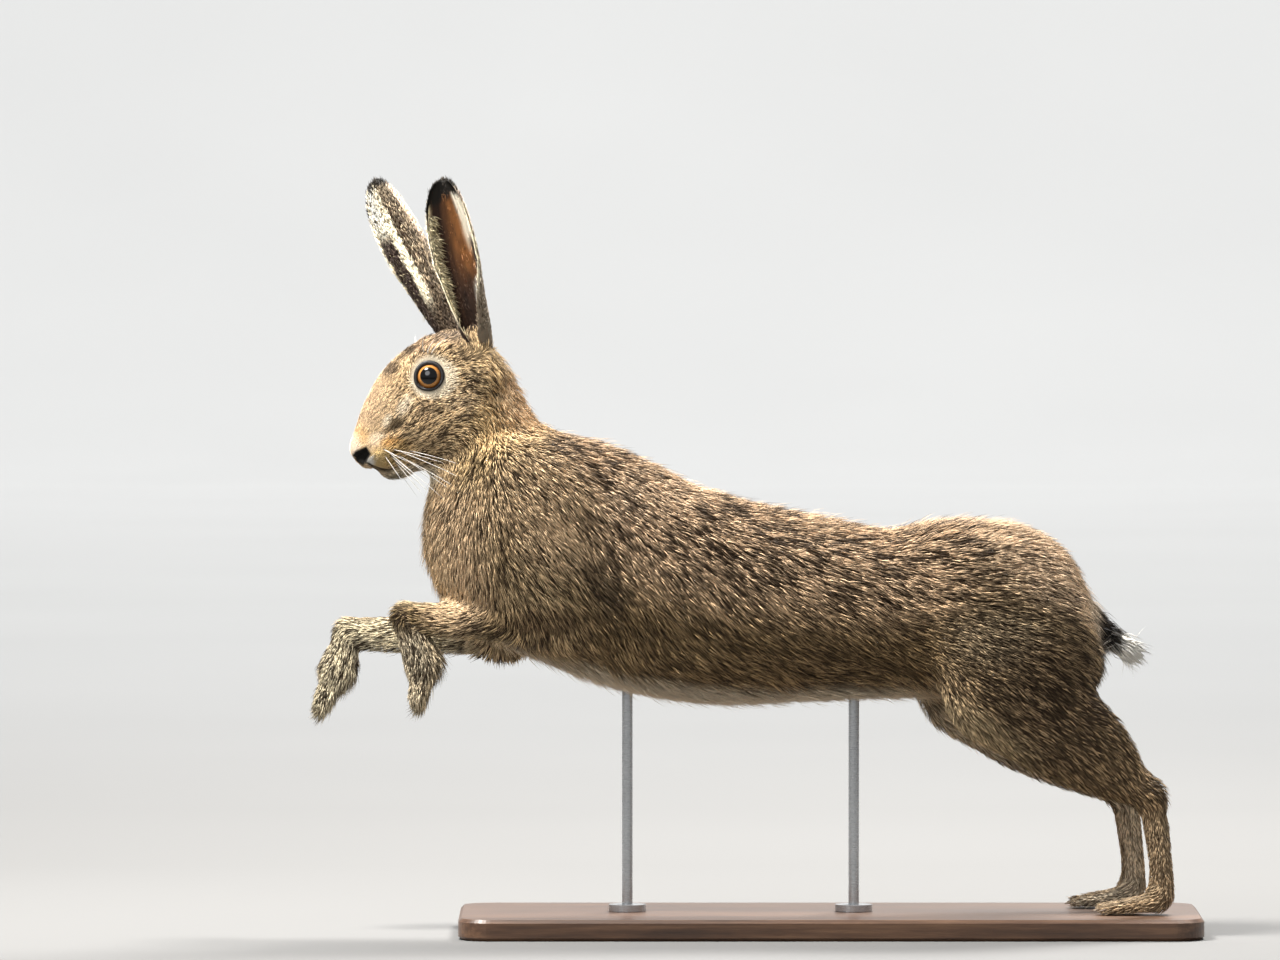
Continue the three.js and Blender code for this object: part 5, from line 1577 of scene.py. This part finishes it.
@dataclass(frozen=True)
class Eye:
    """One eye: the ball with a raised cornea, and the rim of the lids round it."""

    side: int
    name: str
    rings: int = 40
    around: int = 48
    cornea: float = 0.9
    edge: float = 1.15
    opening: float = 10.15
    rim: float = 1.15
    rim_steps: tuple[int, int] = (72, 10)

    @property
    def axes(self) -> tuple[Array, Array, Array, Array]:
        """The centre, the gaze, and two directions across it: along the head, and up."""
        centre, gaze = eye_axes(self.side)
        up = unit(np.array([0, 0, 1.0]) - gaze[2] * gaze)
        return centre, gaze, np.cross(up, gaze), up

    def ball(self, material: bpy.types.Material) -> bpy.types.Object:
        """The eyeball: a sphere in rings about the gaze, with a low bulge over the iris.

        Returns:
            The piece. Its attribute ring is 0 at the gaze and 1 at the edge of what the lids show.
        """
        centre, gaze, ahead, up = self.axes
        polar = np.linspace(0, math.pi, self.rings + 1)[1:-1]
        angle = circle(self.around)
        bulge = EYE_RADIUS + self.cornea * smooth(0.95, 0.45, polar)
        flat, out = np.sin(polar) * bulge, np.cos(polar) * bulge
        points = (centre + gaze * out[:, None, None] + ahead * (np.outer(flat, np.cos(angle)))[..., None]
                  + up * (np.outer(flat, np.sin(angle)))[..., None]).reshape(-1, 3)
        poles = np.stack([centre + gaze * (EYE_RADIUS + self.cornea), centre - gaze * EYE_RADIUS])
        ring = np.append(np.repeat(np.minimum(polar / self.edge, 1.2), self.around), [0, 1.2])
        turn = np.append(np.tile(np.abs(angle / math.pi - 1), len(polar)), [0, 0])
        obj = make_mesh(f"eyeball_{self.name}", np.vstack([points, poles]),
                        closed_faces(len(polar), self.around), material, {"ring": ring, "turn": turn})
        return report(obj, "eye", [f"eye_{self.name}"])

    def lids(self, material: bpy.types.Material) -> bpy.types.Object:
        """The dark rim of the lids: a closed ring, pointed a little at the front corner, thicker above."""
        centre, gaze, ahead, up = self.axes
        steps, sides = self.rim_steps
        angle, across = circle(steps), circle(sides)
        corner = self.side * np.cos(angle) * 0.8 - np.sin(angle) * 0.6
        radius = self.opening + 0.9 * np.maximum(corner, 0) ** 8
        out = math.sqrt(EYE_RADIUS ** 2 - (self.opening - 1.0) ** 2) + 1.0
        thick = self.rim * (1 + 0.25 * np.sin(angle))
        spoke = ahead * np.cos(angle)[:, None] + up * np.sin(angle)[:, None]
        middle = centre + spoke * radius[:, None] + gaze * out
        points = (middle[:, None]
                  + spoke[:, None] * (np.cos(across) * 1.25)[None, :, None] * thick[:, None, None]
                  + gaze * (np.sin(across) * 0.75)[None, :, None] * thick[:, None, None])
        faces = ring_faces(steps + 1, sides) % (steps * sides)
        return report(make_mesh(f"lids_{self.name}", points.reshape(-1, 3), faces, material), "eye")


class EarPiece:
    """An ear's cup and its hair."""

    BACK_HAIRS, INNER_HAIRS, EDGE_HAIRS, LONG_HAIRS = 4400, 1500, 1000, 900

    def __init__(self, ear: Ear, name: str) -> None:
        """Takes the ear's sizes and its side's name."""
        self.ear, self.name = ear, name
        self.front = ear.side

    def _colour(self, u: Array, v: Array, back: Array) -> tuple[Array, Array]:
        """The ear's colours.

        Args:
            u: from root to tip.
            v: across.
            back: 1 on the ear's back, 0 inside the cup.
        Returns:
            Colours and contrasts. The back has a dark band behind a pale front edge, a pale band down its
            middle and a grizzled band behind; inside is dark warm skin, pale down its rear half and at its
            front edge, its near black being painted shade deep in the cup and its orange partly painted
            light shining through the ear; and the tip is black.
        """
        f = v * self.front
        wobble = 0.05 * noise(np.stack([u * 30, v * 12, u], 1), 1.6, 8)
        g = f + wobble
        ones = np.ones(len(u))
        outer = layered(
            np.outer(ones, (0.16, 0.125, 0.085)),
            ((0.70, 0.55, 0.42), smooth(0.42, 0.62, u + 0.1 * g)),
            ((0.115, 0.088, 0.056), smooth(-0.50, -0.38, g)),
            ((0.94, 0.85, 0.63), smooth(0.17, 0.25, g) * smooth(0.10, 0.24, u)
             * (0.5 + 0.5 * smooth(0.82, 0.66, u))),
            ((0.030, 0.018, 0.013), smooth(0.38, 0.47, g) * smooth(0.74, 0.60, u)),
            ((0.40, 0.40, 0.37), smooth(0.38, 0.52, g) * smooth(0.62, 0.74, u) * 0.8),
            ((0.86, 0.76, 0.55), smooth(0.86, 0.93, g) * smooth(0.02, 0.2, u)),
            (UMBER, smooth(0.34, 0.14, u) * smooth(-0.5, -0.2, g) * smooth(0.62, 0.4, g) * 0.85),
            ((0.05, 0.035, 0.02), smooth(-0.86, -0.94, g) * smooth(0.25, 0.4, u) * 0.9))
        # Inside the cup: the near-black base is painted shade, and the warm orange is partly painted light
        # shining through the ear
        inner = layered(
            np.outer(ones, (0.028, 0.013, 0.007)),
            ((0.22, 0.085, 0.022), smooth(0.22, 0.6, u) * smooth(0.50, 0.0, g) * (0.7 + 6 * wobble)),
            ((0.58, 0.53, 0.42), smooth(-0.16, -0.36, g) * smooth(0.48, 0.66, u)),
            ((0.62, 0.60, 0.52), smooth(-0.05, -0.2, g) * smooth(0.36, 0.24, u)),
            ((0.03, 0.02, 0.014), smooth(-0.34, -0.48, g) * smooth(0.66, 0.56, u)),
            ((0.80, 0.68, 0.42), smooth(0.80, 0.92, g)))
        inner = inner * (1 + 0.55 * noise(np.stack([u * 9, v * 13, u], 1), 1.0, 9))[:, None]
        rim = smooth(0.90, 0.98, np.abs(f)) * smooth(0.86, 0.80, u) * smooth(0.2, 0.4, u)
        tip = u + (0.035 * f if self.front < 0 else -0.05) + 0.6 * wobble
        black = np.maximum(smooth(0.86, 0.90, tip), smooth(0.72, 0.8, u) * (f > 0.93))
        colour = layered(blend(inner, outer, back), ((0.86, 0.77, 0.56), rim), (SOOT, black))
        grizzled = 0.35 + 0.65 * smooth(0.3, 0.15, g) * smooth(-0.5, -0.3, g)
        contrast = back * smooth(0.9, 0.75, u) * grizzled + 0.2 + 0.6 * (1 - back)
        return colour, contrast * (0.3 + 0.7 * smooth(0.03, 0.10, colour.max(axis=1)))

    def cup(self, material: bpy.types.Material) -> bpy.types.Object:
        """The cup: its back and its inside as one closed thin shell."""
        rows, half = 64, 24
        u, w = np.meshgrid(np.linspace(-0.17, 1, rows), np.arange(2 * half), indexing="ij")
        back = (w < half).astype(float)
        v = np.where(w < half, 1 - 2 * w / (half - 1), -1 + 2 * (w - half) / (half - 1))
        wall = self.ear.wall * (1 - 0.5 * np.abs(v) ** 4) * (1 - 0.45 * u) * 0.5
        points = self.ear.surface(u, v, wall * (2 * back - 1)).reshape(-1, 3)
        around = 2 * half
        faces = ring_faces(rows, around)
        j = np.arange(half - 1)
        ends = [np.stack([base + j, base + around - 1 - j, base + around - 2 - j, base + j + 1], axis=1)
                for base in (0, (rows - 1) * around)]
        faces = np.vstack([faces, ends[0], ends[1][:, ::-1]])
        centre = self.ear.surface(np.array([0.5]), np.array([0.0]), 0)[0]
        if self._inward(points, faces, centre):
            faces = faces[:, ::-1]
        colour, _ = self._colour(u.ravel(), v.ravel(), back.ravel())
        obj = make_mesh(f"ear_cup_{self.name}", points, faces, material, {"coat": colour})
        return report(obj, "ear_skin", [f"ear_{self.name}"])

    @staticmethod
    def _inward(points: Array, faces: Array, centre: Array) -> bool:
        """Whether the faces point inwards: the volume that they enclose, by triangles, is negative."""
        p = points - centre
        a, b, c, d = (p[faces[:, k]] for k in range(4))
        return sum((a * np.cross(*pair)).sum() for pair in ((b, c), (c, d))) < 0

    def hair(self, material: bpy.types.Material) -> bpy.types.Object:
        """Short hair on the back, a sparse down inside, fringes on both edges, and long hair over the cup."""
        rng = np.random.default_rng(40 + self.front)
        groups = [self._patch(rng, self.BACK_HAIRS // EAR_SHARE, True),
                  self._patch(rng, self.INNER_HAIRS // EAR_SHARE, False),
                  self._fringe(rng, self.EDGE_HAIRS // EAR_SHARE),
                  self._inward_fringe(rng, self.LONG_HAIRS // EAR_SHARE)]
        tufts = Tufts(strand=0.9, clump=2.2, pull=0.3)
        shapes = [tufts.shape(g, rng) for g in groups]
        sizes = np.cumsum([0] + [len(s[0]) for s in shapes])
        faces = np.vstack([s[1] + start for s, start in zip(shapes, sizes)])
        flat = tuple(np.concatenate([s[3][k] for s in shapes]) for k in (0, 1))
        obj = make_mesh(f"coat_ear_{self.name}", np.vstack([s[0] for s in shapes]), faces, material,
                        {"coat": np.vstack([s[2] for s in shapes])}, flat)
        return report(obj, "fur")

    def _frame(self, u: Array, v: Array, out: Number) -> tuple[Array, Array, Array]:
        """Points of the cup with the directions along it and away from it, by small steps."""
        p = self.ear.surface(u, v, out)
        along = unit(self.ear.surface(u + 0.01, v, out) - self.ear.surface(u - 0.01, v, out))
        away = unit(self.ear.surface(u, v, out + 1.0) - p)
        return p, along, away

    def _patch(self, rng: np.random.Generator, count: int, back: bool) -> Roots:
        """Roots spread evenly over the back or the inside."""
        u = rng.uniform(-0.12, 0.985, count)
        v = rng.uniform(-1, 1, count) * 0.98
        wall = self.ear.wall * 0.4 * (1 if back else -1)
        p, along, away = self._frame(u, v, wall)
        away = away if back else -away
        colour, contrast = self._colour(u, v, np.full(count, float(back)))
        size = np.ones(count)
        lie = unit(along + 0.12 * rng.standard_normal((count, 3)))
        lie = unit(flattened(lie, away))
        depth, length, width, bright = (1.3, 5.5, 0.8, 1.0) if back else (0.9, 6.5, 0.7, 1.25)
        return Roots(p, away, lie, size * depth, size * length, size * width, colour * bright, contrast,
                     self._flat(u, v, back))

    def _fringe(self, rng: np.random.Generator, count: int) -> Roots:
        """Roots along both edges, whose hair reaches out past them."""
        u = rng.uniform(0.06, 0.99, count)
        edge = np.where(rng.random(count) < 0.5, 1.0, -1.0)
        p, along, away = self._frame(u, edge * 0.97, 0.0)
        outward = unit(self.ear.surface(u, edge, 0.0) - self.ear.surface(u, edge * 0.9, 0.0))
        lie = unit(along + outward * rng.uniform(0.15, 0.6, count)[:, None])
        colour, contrast = self._colour(u, edge, np.full(count, 1.0))
        size = np.ones(count)
        normals = unit(flattened(away, lie))
        return Roots(p, normals, lie, size * 0.4, size * (4.0 + 2.0 * np.sin(np.pi * u)), size * 0.75, colour,
                     contrast * 0.5, self._flat(u, edge, True))

    def _inward_fringe(self, rng: np.random.Generator, count: int) -> Roots:
        """Roots inside the front edge, whose long pale hair leans in over the cup and down."""
        u = rng.uniform(0.14, 0.80, count)
        v = self.front * (0.96 - 0.26 * rng.random(count) ** 1.5)
        p, along, away = self._frame(u, v, -self.ear.wall * 0.4)
        inward = unit(self.ear.surface(u, v * 0.9, 0.0) - self.ear.surface(u, v, 0.0))
        lean, fall = (rng.uniform(low, high, count)[:, None] for low, high in ((0.35, 1.0), (0.3, 1.2)))
        lie = unit(inward * lean - along * fall + 0.22 * rng.standard_normal((count, 3)))
        normals = unit(flattened(-away, lie))
        size = np.ones(count)
        colour = np.outer(size, (0.80, 0.69, 0.43)) * rng.uniform(0.55, 1.1, count)[:, None]
        return Roots(p, normals, lie, rng.uniform(0.6, 2.2, count), rng.uniform(4, 10, count), size * 0.6,
                     colour, size * 0.6, self._flat(u, v, False))

    def _flat(self, u: Array, v: Array, back: bool) -> tuple[Array, Array]:
        """The ear's place on the unwrap: the last row of its grid."""
        start = (0.0 if self.name == "left" else 0.5) + (0.0 if back else 0.25)
        return start + 0.01 + 0.23 * (v + 1) / 2, 0.97 + 0.02 * u


# The whiskers of one side: x and z of the root on the straight head, how it runs back and up, and its length
WHISKERS = [(-318, 363, 0.97, -0.20, 46), (-327, 360, 0.84, -0.52, 60), (-324, 357.5, 0.88, -0.45, 68),
            (-329, 357, 0.78, -0.62, 48), (-332, 359, 0.72, -0.68, 40), (-325, 362, 0.93, -0.34, 52),
            (-334, 362, 0.66, -0.55, 34), (-331, 364, 0.80, -0.15, 40), (-337, 360, 0.45, -0.75, 26),
            (-338, 364, 0.40, -0.20, 26), (-328, 354, 0.62, -0.78, 36)]
WHISKER_RADIUS = 0.33


class Fittings:
    """The claws and the whiskers."""

    @staticmethod
    def spikes(name: str, starts: Array, headings: Array, bends: Array, lengths: Array, radii: Array,
               rings: int, around: int, material: bpy.types.Material) -> bpy.types.Object:
        """Closed tapered spikes.

        Args:
            name: the piece's name.
            starts, headings, bends: (N, 3), the root, the direction, and the bend added by the tip.
            lengths, radii: (N,).
            rings, around: how fine the spikes are.
            material: their finish.
        Returns:
            The piece. A spike's centre line is start + heading * L t + bend t t, its radius falls as
            (1 - t) to the power 0.7, and its ends are closed by a point each.
        """
        n = len(starts)
        t = np.linspace(0, 0.97, rings)
        line = (starts[:, None] + headings[:, None] * (lengths[:, None] * t)[..., None]
                + bends[:, None] * (t ** 2)[None, :, None])
        side = unit(np.cross(headings, [0.3, 0.2, 0.93]))
        up = np.cross(side, headings)
        angle = circle(around)
        radius = radii[:, None] * ((1 - t) ** 0.7)[None]
        ring = (side[:, None, None] * np.cos(angle)[None, None, :, None]
                + up[:, None, None] * np.sin(angle)[None, None, :, None])
        body = (line[:, :, None] + ring * radius[..., None, None]).reshape(n, -1, 3)
        tip = starts + headings * lengths[:, None] + bends
        points = np.concatenate([body, starts[:, None], tip[:, None]], axis=1)
        faces = repeated(closed_faces(rings, around), n, rings * around + 2)
        along = np.tile(np.append(np.repeat(t, around), [0, 1]), n)
        return make_mesh(name, points.reshape(-1, 3), faces, material, {"along": along})

    @classmethod
    def claws(cls) -> None:
        """A claw on each toe of each foot."""
        starts, headings, bends = [], [], []
        for side, place in product(SIDES, toe_places(FORE_TOE)):
            toes = FORE_JOINTS[side][3]
            start = (toes[0] + abs(place) * 0.5, side * FORE_OUT + place * FORE_TOE["spread"] * 1.05,
                     toes[1] + abs(place) * 2.4)
            starts.append(np.array(start) + (0.4, 0, 3.0))
            headings.append((-0.2, 0.0, -1.0))
            bends.append((2.2, 0.0, 0.0))
            starts.append(np.array((KNUCKLE + HIND_SHIFT[side] - hind_reach(place) + 2.5,
                                    side * HIND_OUT + place * HIND_TOE["spread"] * 1.1, GROUND + 4.8)))
            headings.append((-1.0, 0.0, -0.05))
            bends.append((0.0, 0.0, -1.6))
        count = len(starts)
        report(cls.spikes("claws", np.array(starts), unit(np.array(headings)), np.array(bends),
                          np.full(count, CLAW_LENGTH), np.full(count, CLAW_RADIUS), 9, 10, claw_finish()),
               "eye")

    @classmethod
    def whiskers(cls, flesh: Flesh) -> None:
        """Rows of whiskers on the lip pads, and a few over each eye."""
        rng = np.random.default_rng(5)
        starts, headings, bends, lengths = [], [], [], []
        for side, (x, z, ahead, fall, length) in product(SIDES, WHISKERS):
            starts.append((x, side * 15.0, z))
            headings.append((ahead, side * (0.42 + 0.1 * rng.standard_normal()), fall))
            lengths.append(length)
            bends.append((2.0, side * -4.0, -0.09 * length))
        for side, i in product(SIDES, range(3)):
            starts.append((-308 + 3.0 * i, side * 19.0, 437 - 1.0 * i))
            headings.append((-0.3 + 0.3 * i, side * 0.55, 0.8))
            lengths.append(17 + 5 * rng.random())
            bends.append((5.0, side * 2.0, -3.0))
        roots = straightened(np.array(starts), back=True)
        roots = draw_onto(flesh, roots, 4, 6.0)
        report(cls.spikes("whiskers", roots, turned(unit(np.array(headings))), np.array(bends),
                          np.array(lengths), np.full(len(starts), WHISKER_RADIUS), 9, 4, whisker_finish()),
               "white_fur")


class Stand:
    """The board and the rods: the solids' own shapes in better finishes."""

    @staticmethod
    def dress() -> None:
        """Puts the wood and the steel into the solids' material slots."""
        wood, steel = wood_finish(), steel_finish()
        for name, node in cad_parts.items():
            if name.startswith("stand_"):
                finish = wood if name == "stand_base" else steel
                for slot in node.material_slots:
                    slot.material = finish
                LOG.info("%s: %s", name, finish.name)


@dataclass(frozen=True)
class Studio:
    """The pale floor and backdrop, the lights and the camera, in metres."""

    aim: tuple = (-0.1425, 0.0, 0.340)
    distance: float = 9.0
    elevation: float = math.radians(2.0)
    width: float = 0.96

    def camera(self) -> None:
        """A long lens level with the hare's flank, as the hare is seen from its left."""
        data = bpy.data.cameras.new("camera")
        data.sensor_width = 36.0
        data.lens = data.sensor_width * self.distance / self.width
        data.clip_end = 60.0
        obj = bpy.data.objects.new("camera", data)
        bpy.context.collection.objects.link(obj)
        back = Vector((0, -math.cos(self.elevation), math.sin(self.elevation)))
        obj.location = Vector(self.aim) + back * self.distance
        obj.rotation_euler = (-back).to_track_quat("-Z", "Y").to_euler()
        bpy.context.scene.camera = obj

    def stage(self) -> None:
        """One sheet: a floor that curves up into a backdrop far behind."""
        reach, radius, height, steps = STAGE_REACH, 2.5, 6.0, 24
        angle = np.linspace(0, math.pi / 2, steps)
        y = np.concatenate([[-reach - 4], np.linspace(-reach, reach - radius, 8),
                            reach - radius + radius * np.sin(angle[1:]), [reach]])
        z = np.concatenate([np.zeros(9), radius - radius * np.cos(angle[1:]), [height]])
        x = np.linspace(-reach - 3, reach + 3, 25)
        grid = np.stack(np.broadcast_arrays(x[:, None], y[None], z[None]), axis=-1).reshape(-1, 3)
        i, j = np.meshgrid(np.arange(len(x) - 1), np.arange(len(y) - 1), indexing="ij")
        a = (i * len(y) + j).ravel()
        faces = np.stack([a, a + len(y), a + len(y) + 1, a + 1], axis=1)
        make_mesh("floor", grid / MM, faces, studio_finish())

    def lamp(self, name: str, place: tuple, size: float, watts: float, colour: Colour,
             target: tuple = (-0.05, 0, 0.28)) -> None:
        """A soft round lamp that faces the hare, or another target."""
        data = bpy.data.lights.new(name, "AREA")
        data.shape, data.size, data.energy, data.color = "DISK", size, watts, colour
        obj = bpy.data.objects.new(name, data)
        obj.location = place
        obj.rotation_euler = (Vector(target) - Vector(place)).to_track_quat("-Z", "Y").to_euler()
        bpy.context.collection.objects.link(obj)

    def lights(self) -> None:
        """A high key at the head's end, a broad fill, a rim from behind, a lamp on the paper, pale air."""
        self.lamp("key", (-1.15, -0.4, 2.2), 0.7, 156, (1.0, 0.97, 0.93))
        self.lamp("fill", (-1.2, -2.0, 1.7), 1.5, 30, (0.97, 0.98, 1.0))
        self.lamp("rim", (0.7, 1.1, 2.1), 0.8, 126, (1.0, 0.97, 0.93))
        self.lamp("backdrop", (0.0, 2.8, 5.0), 4.0, 860, (1.0, 1.0, 1.0), (0.0, 8.6, 0.2))
        world = bpy.data.worlds.new("air")
        world.use_nodes = True
        air = world.node_tree.nodes["Background"].inputs
        air["Color"].default_value, air["Strength"].default_value = (0.95, 0.97, 1.0, 1.0), 0.48
        bpy.context.scene.world = world
        bpy.context.scene.view_settings.view_transform = "Standard"


def grid_axes() -> list[Array]:
    """The net's steps: fine over the head, wider over the trunk, with the widths changing bit by bit."""
    def walk(stops: Sequence[tuple[float, float]]) -> Array:
        """Coordinates from the first stop to the last, each step as wide as the stops say there."""
        places, widths = zip(*stops)
        at, out = places[0], [places[0]]
        while at < places[-1]:
            at += float(np.interp(at, places, widths)) * NET_SCALE
            out.append(at)
        return np.array(out)

    x = walk([(-400, 1.5), (-364, 1.5), (-360, 1.1), (-316, 1.1), (-310, 1.5), (-268, 1.5), (-240, 2.9),
              (262, 2.9)])
    y = walk([(-74, 2.4), (-40, 2.2), (-28, 1.6), (28, 1.6), (40, 2.2), (74, 2.4)])
    z = walk([(8, 2.4), (150, 2.9), (328, 2.9), (338, 1.1), (378, 1.1), (386, 1.5), (484, 1.5)])
    return [x, y, z]


def main() -> None:
    """Builds the hare and its stand, one sub-assembly after the other."""
    logging.basicConfig(level=logging.INFO, format="%(name)s %(message)s")
    studio = Studio()
    studio.camera()
    studio.stage()
    studio.lights()
    Stand.dress()
    flesh = Flesh()
    outline, faces = Net(flesh, grid_axes()).mesh()
    outline = draw_onto(flesh, outline, 2, 1.2)
    coat = Coat(flesh, outline, faces)
    coat.skin()
    coat.build()
    eye, lid = eye_finish(), lid_finish()
    for side, name in zip(SIDES, ("left", "right")):
        parts = Eye(side, name)
        parts.ball(eye)
        parts.lids(lid)
    cup, hair = ear_finish(), coat_finish()
    for name, ear in EARS.items():
        piece = EarPiece(ear, name)
        piece.cup(cup)
        piece.hair(hair)
    Fittings.claws()
    Fittings.whiskers(flesh)


if __name__ == "__main__":
    main()
